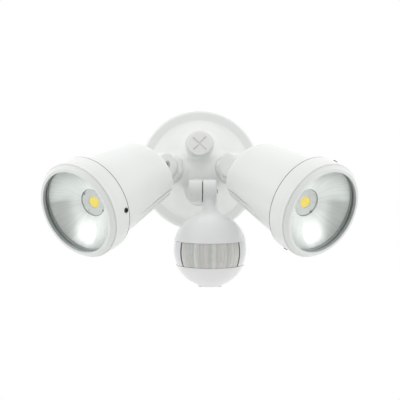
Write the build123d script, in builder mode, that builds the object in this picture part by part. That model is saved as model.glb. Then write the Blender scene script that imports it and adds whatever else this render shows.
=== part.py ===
from build123d import *
import os
from math import cos, radians, sin, sqrt, tan

# Motion sensor security light: a round wall plate with four ports carries two lamp heads
# and a ball-shaped motion sensor, each on a knuckle arm. All sizes are in millimetres.
# Frame: X to the right, Y into the wall, Z up. The origin is the centre of the plate's
# wall face, so everything in front of the wall has a negative Y.

os.makedirs("parts", exist_ok=True)

# ---------------------------------------------------------------- driving dimensions

# clearances
running = 0.05          # radial clearance of a part that turns in another
fit = 0.15              # clearance of a part that is seated in another
free = 0.4              # gap between parts that only pass each other
past = 2.0              # how far a cut runs past the surface that it opens

# wall plate: flat rim, steep shoulder, ball-shaped dome
plate_r = 60.0
plate_edge = 6.5        # straight part of the rim's outer wall
plate_depth = 9.0       # front of the flat rim
plate_bevel = 2.0
plate_wall = 3.0        # wall of the casting
rim_w = 9.5
rim_rise = 0.8          # the rim climbs this much towards the shoulder
shoulder_w = 4.5
shoulder_rise = 5.5     # from the rim's edge to the foot of the dome
dome_depth = 36.0       # front of the dome

# ports in the hub, where the arms and the plug screw in
port_depth = 42.0       # front of each port
port_bore = 10.25       # radius of the thread
boss_r = 14.3
boss_straight = 5.0     # length of a boss before it flares into the dome
boss_length = 24.0
boss_flare = 7.0        # how much wider a boss is at its root
boss_hollow = 1.45      # depth of the flare's curve
lamp_port_x = 25.5
plug_port_z = 24.5
sensor_port_z = -21.3
lamp_azimuth = 39.7     # lamp ports point this far to the side
lamp_port_rise = 12.0   # and this far upward
plug_rise = 12.0

# wall gasket
gasket_t = 5.0
gasket_w = 5.85

# mounting bracket and what it carries
bracket_t = 2.0
bracket_w = 22.0
bracket_arm_w = 11.0
bracket_margin = 2.5    # metal beyond a canopy screw
bracket_end = 12.0      # metal beyond a wall screw
cable_hole_r = 8.0
wall_screw_z = 35.0     # two holes at 70 mm centres for the wall box
wall_hole_r = 2.5
canopy_screw_x = 44.45  # two canopy screws at 88.9 mm centres
canopy_screw_r = 2.0
canopy_head_r = 3.9
canopy_head_t = 2.6
post_r = 5.6
post_depth = 16.0
block_w = 26.0          # terminal block
block_h = 13.0
block_t = 11.0
block_z = 18.5
block_pitch = 8.0
block_screw_r = 1.6
block_screw_t = 4.0
block_screw_sink = 1.0
wire_entry = 3.7        # height of the wire entries above the bracket
earth_z = -19.0
earth_screw_r = 2.0
earth_head_r = 3.8
earth_head_t = 2.4
driver_slot_w = 0.8     # slots and cross recesses in the screws

# blanking plug
plug_r = 11.6
plug_t = 3.2
plug_round = 0.8
plug_thread = 9.0
plug_bore = 7.0
plug_slot = 7.9         # half length of the cross slot
plug_slot_w = 1.3
plug_slot_deep = 1.2
plug_slot_end_r = 1.0
plug_turn = 48.0        # where the slot stands when the plug is tight

# arms, locknuts and knuckles
stem_r = 10.2
stem_in = 11.0          # thread inside the port
wire_r = 5.0
ring_t = 1.6            # seal under the locknut
ring_r = 12.6
nut_across = 24.0
nut_t = 4.6
nut_turn = 15.0
neck_r = 9.6
knuckle_reach = 21.0    # port front to knuckle pivot
sensor_reach = 20.0
knuckle_r = 11.5
knuckle_t = 13.0        # thickness of each half
knuckle_round = 1.2     # rounding of a half's outer edge
seam_side = 2.6         # the joint face stands this far to one side of the port axis
seam_gap = 0.7
seal_in_r = 7.9
seal_out_r = 9.7
seal_deep = 1.2
seal_wall = 1.0         # wall between the seal and the wiring space
screw_r = 2.0
screw_wall = 1.5        # wall round the clamp screw
screw_head_r = 3.5
screw_head_t = 3.0
screw_hex = 1.6         # radius of the hexagon socket
screw_hex_deep = 1.8
screw_sink = 3.4        # depth of the recess for the head
screw_bite = 9.0        # length of screw in the far half
screw_spare = 1.0       # the tapped hole is this much deeper
sensor_screw_tip = 1.0  # the sensor's screw comes out this far

# lamp head; stations are measured backward from the front opening
lamp_tilt = 33.8        # bend of the knuckle as it stands in the photograph
bezel_r = 45.0
bezel_wall = 2.5
lip_w = 2.7             # front face: flat lip, slope, groove, edge of the outer ring
lip_depth = 3.6
slope_w = 2.7
slope_deep = 3.2
groove_w = 1.1
groove_deep = 0.6
ring_w = 1.1
ring_edge = 0.4
glass_t = 4.0
glass_gap = 1.0         # radial gap round the glass
pad_t = 3.3             # seal between glass and reflector
reflector_t = 0.9
reflector_base_r = 12.2
bowl_depth = 12.1
bowl_bulge = 3.5
bezel_seam = 1.0        # dark gap behind the bezel
seam_deep = 1.2
seam_hidden = 0.8       # the gap starts this far inside the bezel
body_step = 4.0         # the body is this much slimmer than the bezel
body_taper = 7.0        # degrees
body_length = 85.0      # bezel to rear face
body_slant = 11.0       # degrees, the underside ends further forward
body_back_round = 11.0
cup_wall = 2.5          # wall of the front cup
plate_gap = 2.8         # reflector base to heat plate
heat_plate_t = 4.0
seat_w = 4.9            # shoulder under the heat plate
cavity_back_wall = 18.6
cavity_end_r = 22.0
fin_grooves = 11
fin_pitch = 11.25       # degrees
fin_groove_w = 3.2
fin_gap = 20.4          # from the bezel to the first of the grooves
fin_floor_r = 23.5      # groove floor at the rear end
pivot_gap = 14.9        # rear face to knuckle pivot
head_neck_r = 11.0
board_w = 40.0          # driver board
board_front_gap = 8.0
board_rear_gap = 6.0
board_t = 1.6
ledge_w = 3.0
ledge_t = 2.0
transformer_w = 15.0
transformer_l = 14.0
transformer_h = 12.0
capacitor_r = 6.0
capacitor_h = 13.0
choke_w = 12.0
choke_l = 8.0
choke_h = 7.0
cob_side = 16.0         # LED module: ceramic board under a round phosphor field
cob_t = 1.2
cob_round = 0.8
phosphor_r = 4.7
phosphor_t = 0.4
holder_r = 11.8
holder_lip = 0.8
holder_window = 0.6     # gap between the holder's lip and the phosphor
wire_hole_r = 1.5
bezel_screw_count = 2
bezel_screw_gap = 3.2   # screw axis to the bezel's rear edge
bezel_screw_r = 2.0
bezel_screw_proud = 0.6
bezel_screw_length = 5.1
screw_mouth_r = 2.6     # wider mouth of a bezel screw's hole
screw_mouth = 1.3
seal_gap = 2.4          # front of the spigot to the bezel seal
seal_screw_gap = 0.2    # bezel seal to the bezel screws
seal_w = 2.0
seal_depth = 1.1
plate_screw_r = 1.6
plate_screw_head_r = 2.8
plate_screw_head_t = 1.8
plate_screw_bite = 3.0

# motion sensor; heights are along the ball's own axis, from its centre
ball_r = 35.0
ball_wall = 2.2
sensor_neck = 24.1      # knuckle pivot to the ball's skin
ball_lean = 23.0        # degrees forward of straight down
ball_nod = 5.0          # degrees that the sensor looks down
sensor_neck_r = 6.5
sensor_neck_flare = 4.0
sensor_wire_r = 4.0
band_top = 9.2
band_bottom = -13.7
lens_half = 51.0        # degrees to each side
cheek_end = 104.0
bar = 2.6               # degrees of the dark bar beside the lens
bar_gap = 0.2           # degrees between a bar and its neighbours
lens_t = 1.6
band_sink = 0.6         # lens and cheeks lie this far below the ball's skin
pad_r = 11.8            # flat control pad under the ball
pad_proud = 0.75
dial_x = 8.3
dial_r = 2.6
dial_t = 2.4
dial_proud = 1.5
dial_shaft_r = 1.3
dial_slot_w = 0.8
dial_slot_edge = 0.6
board_sink = 2.0        # board to the seats of the shell screws
stand_w = 11.0
stand_d = 7.0
detector_r = 4.6
detector_t = 4.2
detector_flange = 0.6
detector_forward = 8.0
detector_height = -3.0
board_post_r = 2.2
board_post_inset = 5.0  # post axis to the board's rim
pot_r = 4.3
pot_h = 5.0
relay_w = 19.0
relay_d = 15.0
relay_h = 15.0
relay_round = 0.6
relay_back = 6.0
shell_screw_r = 1.5
shell_screw_head_r = 2.8
shell_screw_head_t = 2.0
shell_screw_inset = 4.8  # screw axis to the ball's inner skin
shell_screw_top = -6.0
shell_screw_azimuth = 138.0
shell_post_r = 3.6
shell_post_cap = 2.0

# where the bezels of the two lamps happen to be turned to
bezel_turn = {"left": 96.2, "right": 20.5}

# ---------------------------------------------------------------- directions and frames


def direction(azimuth, elevation):
    """Unit vector leaving the wall, turned to the right and raised by these angles."""
    flat = cos(radians(elevation))
    return Vector(sin(radians(azimuth)) * flat, -cos(radians(azimuth)) * flat,
                  sin(radians(elevation)))


def save(piece, name):
    """Label a finished piece and write it as its own STEP file."""
    piece.part.label = name
    export_step(piece.part, f"parts/{name}.step")


def section_of(frame):
    """Plane for turned profiles: x is the radius, y runs backward from the frame."""
    return Plane(origin=frame.origin, x_dir=frame.y_dir * -1, z_dir=frame.x_dir)


def axis_of(frame):
    """Axis through a frame's origin along its z."""
    return Axis(frame.origin, frame.z_dir)


def sphere_point(radius, height):
    """Point of a ball's section at a height, as radius from its axis and height."""
    return sqrt(radius ** 2 - height ** 2), height


UP = Vector(0, 0, 1)
RIGHT = Vector(1, 0, 0)
FULL_TURN = 360
QUARTER_TURN = FULL_TURN / 4
front = Plane(origin=(0, 0, 0), x_dir=RIGHT, z_dir=(0, -1, 0))
wall_section = Plane(origin=(0, 0, 0), x_dir=RIGHT, z_dir=(0, 0, -1))
wall_axis = axis_of(front)

# Each port is a plane at the middle of its front: z leaves the hub and x is the knuckle's
# hinge, from the arm's half to the half that it carries.
left_out = direction(-lamp_azimuth, lamp_port_rise)
right_out = direction(lamp_azimuth, lamp_port_rise)
ports = {
    "left": Plane(origin=(-lamp_port_x, -port_depth, 0), x_dir=left_out.cross(UP),
                  z_dir=left_out),
    "right": Plane(origin=(lamp_port_x, -port_depth, 0), x_dir=right_out.cross(UP),
                   z_dir=right_out),
    "sensor": Plane(origin=(0, -port_depth, sensor_port_z), x_dir=RIGHT,
                    z_dir=direction(0, 0)),
    "plug": Plane(origin=(0, -port_depth, plug_port_z), x_dir=RIGHT,
                  z_dir=direction(0, plug_rise)),
}
reach = {"left": knuckle_reach, "right": knuckle_reach, "sensor": sensor_reach}

# radii of the lamp head
skirt_r = bezel_r - bezel_wall
stack_r = skirt_r - glass_gap
slope_r = bezel_r - ring_w
lip_r = slope_r - slope_w - lip_w
spigot_r = skirt_r - 2 * fit
cup_r = spigot_r - seal_depth - cup_wall
bowl_back_r = cup_r - fit
bowl_r = bowl_back_r - reflector_t / 2
seat_r = cup_r - seat_w
body_r = bezel_r - body_step
plate_screw_ring = cup_r - fit - plate_screw_head_r
screw_outer = bezel_r + bezel_screw_proud

# stations of the lamp head, from the front opening backward
pad_front = lip_depth + glass_t
flange_front = pad_front + pad_t
spigot_front = flange_front + reflector_t
seal_station = spigot_front + seal_gap
screw_station = seal_station + seal_w + seal_screw_gap + bezel_screw_r
bezel_back = screw_station + bezel_screw_gap
body_back = bezel_back + body_length
seam_front = bezel_back - seam_hidden
body_front = bezel_back + bezel_seam
reflector_base = flange_front + bowl_depth
plate_front = reflector_base + plate_gap
plate_back = plate_front + heat_plate_t
cavity_end = body_back - cavity_back_wall
board_start = plate_back + board_front_gap
board_end = cavity_end - board_rear_gap
fin_start = bezel_back + fin_gap
pivot_station = body_back + pivot_gap


def hinge_plane(arm):
    """Plane at the knuckle's joint face: origin on the hinge axis, z along the hinge."""
    port = ports[arm]
    pivot = port.origin + port.z_dir * reach[arm] + port.x_dir * seam_side
    return Plane(origin=pivot, x_dir=port.z_dir, z_dir=port.x_dir)


def lamp_frame(side):
    """Plane at the lamp's front opening: z points out of the lamp, x along the hinge."""
    port = ports[side]
    pivot = port.origin + port.z_dir * reach[side]
    aim = port.z_dir.rotate(Axis((0, 0, 0), port.x_dir), -lamp_tilt)
    return Plane(origin=pivot + aim * pivot_station, x_dir=port.x_dir, z_dir=aim)


def body_radius(station):
    """Outer radius of the tapered lamp body at a station."""
    return body_r - (station - bezel_back) * tan(radians(body_taper))


def cavity_radius(station):
    """Inner radius of the tapered driver cavity at a station."""
    slope = (seat_r - cavity_end_r) / (cavity_end - plate_back)
    return seat_r - (station - plate_back) * slope


def bezel_screw_seats(side):
    """Planes on the lamp's axis, one for each bezel screw, with z along the screw."""
    section = section_of(lamp_frame(side))
    seats = []
    for turn in range(bezel_screw_count):
        around = section.moved(Rotation(0, bezel_turn[side] + FULL_TURN / bezel_screw_count * turn, 0))
        seats.append(Plane(origin=around.from_local_coords((0, screw_station, 0)),
                           x_dir=around.y_dir, z_dir=around.x_dir))
    return seats


# ---------------------------------------------------------------- wall plate group

rim_in_r = plate_r - rim_w
rim_in_depth = plate_depth + rim_rise
dome_foot_r = rim_in_r - shoulder_w
dome_foot_depth = plate_depth + shoulder_rise
dome_rise = dome_depth - dome_foot_depth
dome_ball_r = (dome_foot_r ** 2 + dome_rise ** 2) / (2 * dome_rise)
dome_centre = dome_depth - dome_ball_r
inner_foot_r = dome_foot_r - plate_wall
gasket_out_r = plate_r - plate_wall
gasket_in_r = gasket_out_r - fit - gasket_w
bracket_x = canopy_screw_x + canopy_screw_r + bracket_margin - fit
bracket_z = wall_screw_z + bracket_end
canopy_screw_spots = [(-canopy_screw_x, 0), (canopy_screw_x, 0)]


def dome_point(radius, inset=0.0):
    """Point of the dome's section at a radius, on its skin or this far inside it."""
    return radius, dome_centre + sqrt((dome_ball_r - inset) ** 2 - radius ** 2)


with BuildPart() as canopy:
    # turned outer shape: flat rim, steep shoulder, domed middle
    with BuildSketch(wall_section):
        with BuildLine():
            Polyline((0, dome_depth), (0, 0), (plate_r, 0), (plate_r, plate_edge),
                     (plate_r - plate_bevel, plate_depth), (rim_in_r, rim_in_depth),
                     dome_point(dome_foot_r))
            ThreePointArc(dome_point(dome_foot_r), dome_point(dome_foot_r / 2), dome_point(0))
        make_face()
    revolve(axis=wall_axis)
    # four bosses that flare into the dome
    for port in ports.values():
        with BuildSketch(section_of(port)):
            with BuildLine():
                Polyline((boss_r, boss_straight), (boss_r, 0), (0, 0), (0, boss_length),
                         (boss_r + boss_flare, boss_length))
                SagittaArc((boss_r + boss_flare, boss_length), (boss_r, boss_straight),
                           -boss_hollow)
            make_face()
        revolve(axis=axis_of(port))
    # posts for the two canopy screws
    with BuildSketch(front):
        with Locations(*canopy_screw_spots):
            Circle(post_r)
    extrude(amount=post_depth)
    # hollow inside, with the seat of the wall gasket
    with BuildSketch(wall_section):
        with BuildLine():
            Polyline(dome_point(0, plate_wall), (0, -past), (gasket_out_r, -past),
                     (gasket_out_r, gasket_t), (gasket_in_r - fit, gasket_t),
                     (gasket_in_r - fit, plate_depth - plate_wall),
                     dome_point(inner_foot_r, plate_wall))
            ThreePointArc(dome_point(inner_foot_r, plate_wall),
                          dome_point(inner_foot_r / 2, plate_wall), dome_point(0, plate_wall))
        make_face()
    revolve(axis=wall_axis, mode=Mode.SUBTRACT)
    with BuildSketch(front.offset(bracket_t)):
        with Locations(*canopy_screw_spots):
            Circle(post_r)
    extrude(amount=post_depth - bracket_t)
    # flat seats for the screw heads, cut into the dome's foot
    with BuildSketch(front.offset(post_depth)):
        with Locations(*canopy_screw_spots):
            Circle(canopy_head_r + free)
    extrude(amount=dome_depth, mode=Mode.SUBTRACT)
    # bores
    for port in ports.values():
        with BuildSketch(port.offset(past)):
            Circle(port_bore)
        extrude(amount=-boss_length - past, mode=Mode.SUBTRACT)
    with BuildSketch(front):
        with Locations(*canopy_screw_spots):
            Circle(canopy_screw_r + fit)
    extrude(amount=post_depth, mode=Mode.SUBTRACT)
save(canopy, "canopy")

with BuildPart() as wall_gasket:
    with BuildSketch(front):
        Circle(gasket_out_r - fit)
        Circle(gasket_in_r, mode=Mode.SUBTRACT)
    extrude(amount=gasket_t)
save(wall_gasket, "wall_gasket")

with BuildPart() as mounting_bracket:
    with BuildSketch(front):
        Rectangle(bracket_w, 2 * bracket_z)
        Rectangle(2 * bracket_x, bracket_arm_w)
        Circle(cable_hole_r, mode=Mode.SUBTRACT)
        with Locations((0, -wall_screw_z), (0, wall_screw_z)):
            Circle(wall_hole_r, mode=Mode.SUBTRACT)
        with Locations(*canopy_screw_spots):
            Circle(canopy_screw_r + fit, mode=Mode.SUBTRACT)
        with Locations((0, earth_z)):
            Circle(earth_screw_r, mode=Mode.SUBTRACT)
    extrude(amount=bracket_t)
save(mounting_bracket, "mounting_bracket")

with BuildPart() as canopy_screws:
    with BuildSketch(front.offset(post_depth)):
        with Locations(*canopy_screw_spots):
            Circle(canopy_head_r)
    extrude(amount=canopy_head_t)
    with BuildSketch(front.offset(post_depth)):
        with Locations(*canopy_screw_spots):
            Circle(canopy_screw_r)
    extrude(amount=-post_depth)
    # cross recess in each head
    with BuildSketch(front.offset(post_depth + canopy_head_t)):
        with Locations(*canopy_screw_spots):
            Rectangle(canopy_head_r, driver_slot_w)
            Rectangle(driver_slot_w, canopy_head_r)
    extrude(amount=-canopy_head_t / 2, mode=Mode.SUBTRACT)
save(canopy_screws, "canopy_screws")

block_front = front.offset(bracket_t + block_t)
with BuildPart() as terminal_block:
    with BuildSketch(front.offset(bracket_t)):
        with Locations((0, block_z)):
            Rectangle(block_w, block_h)
    extrude(amount=block_t)
    with BuildSketch(block_front):
        with Locations((0, block_z)):
            with GridLocations(block_pitch, 0, 3, 1):
                Circle(block_screw_r)
    extrude(amount=-block_screw_sink - block_screw_t, mode=Mode.SUBTRACT)
    # wire entries from below
    with BuildSketch(Plane.XY.offset(block_z - block_h / 2)):
        with Locations((0, -bracket_t - wire_entry)):
            with GridLocations(block_pitch, 0, 3, 1):
                Circle(block_screw_r)
    extrude(amount=block_h, mode=Mode.SUBTRACT)
save(terminal_block, "terminal_block")

with BuildPart() as terminal_screws:
    with BuildSketch(block_front.offset(-block_screw_sink)):
        with Locations((0, block_z)):
            with GridLocations(block_pitch, 0, 3, 1):
                Circle(block_screw_r - running)
    extrude(amount=-block_screw_t)
    with BuildSketch(block_front.offset(-block_screw_sink)):
        with Locations((0, block_z)):
            with GridLocations(block_pitch, 0, 3, 1):
                Rectangle(2 * block_screw_r, driver_slot_w)
    extrude(amount=-block_screw_sink, mode=Mode.SUBTRACT)
save(terminal_screws, "terminal_screws")

with BuildPart() as earth_screw:
    with BuildSketch(front.offset(bracket_t)):
        with Locations((0, earth_z)):
            Circle(earth_head_r)
    extrude(amount=earth_head_t)
    with BuildSketch(front):
        with Locations((0, earth_z)):
            Circle(earth_screw_r - running)
    extrude(amount=bracket_t)
    with BuildSketch(front.offset(bracket_t + earth_head_t)):
        with Locations((0, earth_z)):
            Rectangle(2 * earth_head_r, driver_slot_w)
    extrude(amount=-earth_head_t / 2, mode=Mode.SUBTRACT)
save(earth_screw, "earth_screw")

plug_port = ports["plug"]
with BuildPart() as plug_o_ring:
    with BuildSketch(plug_port):
        Circle(plug_r - fit)
        Circle(port_bore, mode=Mode.SUBTRACT)
    extrude(amount=ring_t)
save(plug_o_ring, "plug_o_ring")

with BuildPart() as blanking_plug:
    with BuildSketch(plug_port.offset(ring_t)):
        Circle(plug_r)
    extrude(amount=plug_t)
    fillet(blanking_plug.faces().sort_by(axis_of(plug_port))[-1].edges(), plug_round)
    with BuildSketch(plug_port.offset(ring_t)):
        Circle(port_bore - running)
    extrude(amount=-plug_thread - ring_t)
    with BuildSketch(plug_port.offset(-plug_thread)):
        Circle(plug_bore)
    extrude(amount=plug_thread, mode=Mode.SUBTRACT)
    # diagonal cross slot in the face, with a round pit at each end
    with BuildSketch(plug_port.offset(ring_t + plug_t)):
        with PolarLocations(0, 2, start_angle=plug_turn, angular_range=180):
            SlotCenterToCenter(2 * plug_slot, plug_slot_w)
        with PolarLocations(plug_slot, 4, start_angle=plug_turn):
            Circle(plug_slot_end_r)
    extrude(amount=-plug_slot_deep, mode=Mode.SUBTRACT)
save(blanking_plug, "blanking_plug")

# ---------------------------------------------------------------- arms and knuckles

for arm_name in reach:
    port = ports[arm_name]
    hinge = hinge_plane(arm_name)
    outer_side = hinge.offset(-knuckle_t)
    screw_seat = outer_side.offset(screw_sink)
    nut_front = port.offset(ring_t + nut_t)

    with BuildPart() as o_ring:
        with BuildSketch(port):
            Circle(ring_r)
            Circle(stem_r + running, mode=Mode.SUBTRACT)
        extrude(amount=ring_t)
    save(o_ring, f"{arm_name}_arm_o_ring")

    with BuildPart() as locknut:
        with BuildSketch(port.offset(ring_t)):
            RegularPolygon(nut_across / 2, 6, major_radius=False, rotation=nut_turn)
            Circle(stem_r + running, mode=Mode.SUBTRACT)
        extrude(amount=nut_t)
        # chamfered corners on the outer side
        with BuildSketch(section_of(nut_front)):
            with BuildLine():
                Polyline((nut_across / 2, 0), (nut_across, 0), (nut_across, nut_t), close=True)
            make_face()
        revolve(axis=axis_of(port), mode=Mode.SUBTRACT)
    save(locknut, f"{arm_name}_locknut")

    with BuildPart() as arm:
        with BuildSketch(port.offset(-stem_in)):
            Circle(stem_r)
        extrude(amount=stem_in + ring_t + nut_t + free)
        with BuildSketch(nut_front.offset(free)):
            Circle(neck_r)
        extrude(amount=reach[arm_name] - ring_t - nut_t - free)
        # the arm's half of the knuckle, with the other half's space left free
        with BuildSketch(outer_side):
            Circle(knuckle_r)
        extrude(amount=knuckle_t)
        fillet(arm.faces().sort_by(axis_of(hinge))[0].edges(), knuckle_round)
        with BuildSketch(hinge):
            Circle(knuckle_r + free)
        extrude(amount=knuckle_t, mode=Mode.SUBTRACT)
        # wiring bore, wiring space round the screw, seal groove, screw hole
        with BuildSketch(port.offset(-stem_in)):
            Circle(wire_r)
        extrude(amount=stem_in + reach[arm_name] - knuckle_r / 2, mode=Mode.SUBTRACT)
        with BuildSketch(hinge):
            Circle(seal_in_r - seal_wall)
            Circle(screw_r + screw_wall, mode=Mode.SUBTRACT)
        extrude(amount=-knuckle_t / 2, mode=Mode.SUBTRACT)
        with BuildSketch(hinge):
            Circle(seal_out_r)
            Circle(seal_in_r, mode=Mode.SUBTRACT)
        extrude(amount=-seal_deep, mode=Mode.SUBTRACT)
        with BuildSketch(hinge):
            Circle(screw_r + running)
        extrude(amount=-knuckle_t, mode=Mode.SUBTRACT)
        with BuildSketch(outer_side):
            Circle(screw_head_r + fit)
        extrude(amount=screw_sink, mode=Mode.SUBTRACT)
    save(arm, f"{arm_name}_arm")

    with BuildPart() as knuckle_seal:
        with BuildSketch(hinge.offset(-seal_deep)):
            Circle(seal_out_r - running)
            Circle(seal_in_r + running, mode=Mode.SUBTRACT)
        extrude(amount=seal_deep + seam_gap / 2)
    save(knuckle_seal, f"{arm_name}_knuckle_seal")

    if arm_name == "sensor":
        screw_end = knuckle_t + sensor_screw_tip
    else:
        screw_end = screw_bite
    with BuildPart() as clamp_screw:
        with BuildSketch(screw_seat):
            Circle(screw_head_r)
        extrude(amount=-screw_head_t)
        with BuildSketch(screw_seat.offset(-screw_head_t)):
            RegularPolygon(screw_hex, 6)
        extrude(amount=screw_hex_deep, mode=Mode.SUBTRACT)
        with BuildSketch(screw_seat):
            Circle(screw_r)
        extrude(amount=knuckle_t - screw_sink + seam_gap + screw_end)
    save(clamp_screw, f"{arm_name}_clamp_screw")


def carried_half(arm_name, screw_hole):
    """Shapes for the knuckle half on the carried side: swing space, solid and hollow."""
    hinge = hinge_plane(arm_name)
    face = hinge.offset(seam_gap)
    with BuildPart() as space:
        with BuildSketch(face):
            Circle(knuckle_r + free)
        extrude(amount=-2 * knuckle_t - seam_gap)
    with BuildPart() as half:
        with BuildSketch(face):
            Circle(knuckle_r)
        extrude(amount=knuckle_t)
        fillet(half.faces().sort_by(axis_of(hinge))[-1].edges(), knuckle_round)
    with BuildPart() as hollow:
        with BuildSketch(face):
            Circle(seal_in_r - seal_wall)
            Circle(screw_r + screw_wall, mode=Mode.SUBTRACT)
        extrude(amount=knuckle_t / 2)
        with BuildSketch(face):
            Circle(screw_r + running)
        extrude(amount=screw_hole)
    return space.part, half.part, hollow.part


# ---------------------------------------------------------------- lamp heads

for side in bezel_turn:
    frame = lamp_frame(side)
    section = section_of(frame)
    axis = axis_of(frame)
    plate_face = frame.offset(-plate_front)

    with BuildPart() as bezel:
        with BuildSketch(section):
            with BuildLine():
                groove_r = slope_r - groove_deep
                groove_end = slope_deep + groove_w
                Polyline((lip_r, 0), (lip_r + lip_w, 0), (slope_r, slope_deep),
                         (groove_r, slope_deep), (groove_r, groove_end),
                         (bezel_r - ring_edge, groove_end),
                         (bezel_r, groove_end + ring_edge), (bezel_r, bezel_back),
                         (skirt_r, bezel_back), (skirt_r, lip_depth), (lip_r, lip_depth),
                         close=True)
            make_face()
        revolve(axis=axis)
        # tapped holes for the fixing screws, with a wider mouth
        for seat in bezel_screw_seats(side):
            with BuildSketch(seat.offset(skirt_r - past)):
                Circle(bezel_screw_r)
            extrude(amount=bezel_wall + 2 * past, mode=Mode.SUBTRACT)
            with BuildSketch(seat.offset(bezel_r - screw_mouth)):
                Circle(screw_mouth_r)
            extrude(amount=screw_mouth + past, mode=Mode.SUBTRACT)
    save(bezel, f"{side}_bezel")

    with BuildPart() as bezel_screws:
        for seat in bezel_screw_seats(side):
            with BuildSketch(seat.offset(screw_outer)):
                Circle(bezel_screw_r - running)
            extrude(amount=-bezel_screw_length)
            with BuildSketch(seat.offset(screw_outer)):
                RegularPolygon(bezel_screw_r / 2, 6)
            extrude(amount=-bezel_screw_length / 2, mode=Mode.SUBTRACT)
    save(bezel_screws, f"{side}_bezel_screws")

    with BuildPart() as glass:
        with BuildSketch(frame.offset(-pad_front)):
            Circle(stack_r)
        extrude(amount=glass_t)
    save(glass, f"{side}_glass")

    with BuildPart() as glass_seal:
        with BuildSketch(frame.offset(-flange_front)):
            Circle(stack_r)
            Circle(bowl_r, mode=Mode.SUBTRACT)
        extrude(amount=pad_t)
    save(glass_seal, f"{side}_glass_seal")

    with BuildPart() as reflector:
        # spun shell: flange, deep bowl, open base
        with BuildSketch(section):
            with BuildLine():
                bowl_rim = (bowl_r, flange_front)
                base_in = (reflector_base_r, reflector_base)
                base_out = (reflector_base_r, reflector_base + reflector_t)
                rim_back = (bowl_back_r, spigot_front)
                SagittaArc(bowl_rim, base_in, -bowl_bulge)
                Line(base_in, base_out)
                SagittaArc(base_out, rim_back, bowl_bulge)
                Polyline(rim_back, (stack_r, spigot_front), (stack_r, flange_front), bowl_rim)
            make_face()
        revolve(axis=axis)
    save(reflector, f"{side}_reflector")

    swing_space, knuckle_half, knuckle_hollow = carried_half(side, screw_bite + screw_spare)
    with BuildPart() as body:
        # spigot for the bezel, dark seam, tapered case
        with BuildSketch(section):
            with BuildLine():
                Polyline((0, spigot_front), (spigot_r, spigot_front), (spigot_r, seam_front),
                         (body_r - seam_deep, seam_front), (body_r - seam_deep, body_front),
                         (body_radius(body_front), body_front),
                         (body_radius(pivot_station), pivot_station), (0, pivot_station),
                         close=True)
            make_face()
        revolve(axis=axis)
        # slanted rear face with a generous rounding
        rear = Plane(origin=frame.offset(-body_back).origin, x_dir=frame.x_dir,
                     z_dir=frame.z_dir * -1).moved(Rotation(-body_slant, 0, 0))
        split(bisect_by=rear, keep=Keep.BOTTOM)
        rear_edges = body.faces().sort_by(axis)[0].edges()
        fillet(rear_edges, body_back_round)
        # cooling grooves on the underside, deeper towards the rear
        for number in range(fin_grooves):
            angle = 180 + (number - (fin_grooves - 1) / 2) * fin_pitch
            with BuildSketch(section.moved(Rotation(0, angle, 0))):
                with BuildLine():
                    Polyline((body_radius(fin_start), fin_start), (fin_floor_r, body_back),
                             (fin_floor_r, pivot_station), (body_r, pivot_station),
                             (body_r, fin_start), close=True)
                make_face()
            extrude(amount=fin_groove_w / 2, both=True, mode=Mode.SUBTRACT)
        # neck and knuckle half
        with BuildSketch(frame.offset(-pivot_station)):
            Circle(head_neck_r)
        extrude(amount=pivot_station - cavity_end)
        add(swing_space, mode=Mode.SUBTRACT)
        add(knuckle_half)
        add(knuckle_hollow, mode=Mode.SUBTRACT)
        # front cup, shoulder for the heat plate, cavity for the driver, wiring bore
        with BuildSketch(section):
            with BuildLine():
                Polyline((0, spigot_front - past), (cup_r, spigot_front - past),
                         (cup_r, plate_back), (seat_r, plate_back), (cavity_end_r, cavity_end),
                         (0, cavity_end), close=True)
            make_face()
        revolve(axis=axis, mode=Mode.SUBTRACT)
        with BuildSketch(frame.offset(past - cavity_end)):
            Circle(wire_r)
        extrude(amount=cavity_end - past - pivot_station + knuckle_r / 2, mode=Mode.SUBTRACT)
        # groove for the bezel seal
        with BuildSketch(frame.offset(-seal_station)):
            Circle(spigot_r)
            Circle(spigot_r - seal_depth, mode=Mode.SUBTRACT)
        extrude(amount=-seal_w, mode=Mode.SUBTRACT)
        # dimples for the bezel screws
        for seat in bezel_screw_seats(side):
            with BuildSketch(seat.offset(screw_outer - bezel_screw_length - running)):
                Circle(bezel_screw_r)
            extrude(amount=bezel_screw_length, mode=Mode.SUBTRACT)
        # ledges under both long edges of the driver board
        for hand in (-1, 1):
            with BuildSketch(Plane(origin=frame.origin, x_dir=frame.x_dir * hand,
                                   z_dir=frame.y_dir * -hand)):
                with BuildLine():
                    Polyline((board_w / 2 - ledge_w, -board_start),
                             (board_w / 2 - ledge_w, -board_end),
                             (cavity_radius(board_end) + past, -board_end),
                             (cavity_radius(board_start) + past, -board_start), close=True)
                make_face()
            extrude(amount=-ledge_t * hand)
        # tapped holes for the heat plate
        with BuildSketch(frame.offset(-plate_back)):
            with PolarLocations(plate_screw_ring, 3):
                Circle(plate_screw_r)
        extrude(amount=-plate_screw_bite - free, mode=Mode.SUBTRACT)
    save(body, f"{side}_body")

    with BuildPart() as bezel_seal:
        with BuildSketch(frame.offset(-seal_station - running)):
            Circle(skirt_r - running)
            Circle(spigot_r - seal_depth + running, mode=Mode.SUBTRACT)
        extrude(amount=2 * running - seal_w)
    save(bezel_seal, f"{side}_bezel_seal")

    with BuildPart() as heat_plate:
        with BuildSketch(plate_face):
            Circle(cup_r - fit)
            with PolarLocations(plate_screw_ring, 3):
                Circle(plate_screw_r, mode=Mode.SUBTRACT)
            with Locations((0, -(holder_r + seat_r) / 2)):
                Circle(wire_hole_r, mode=Mode.SUBTRACT)
        extrude(amount=-heat_plate_t)
    save(heat_plate, f"{side}_heat_plate")

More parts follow.
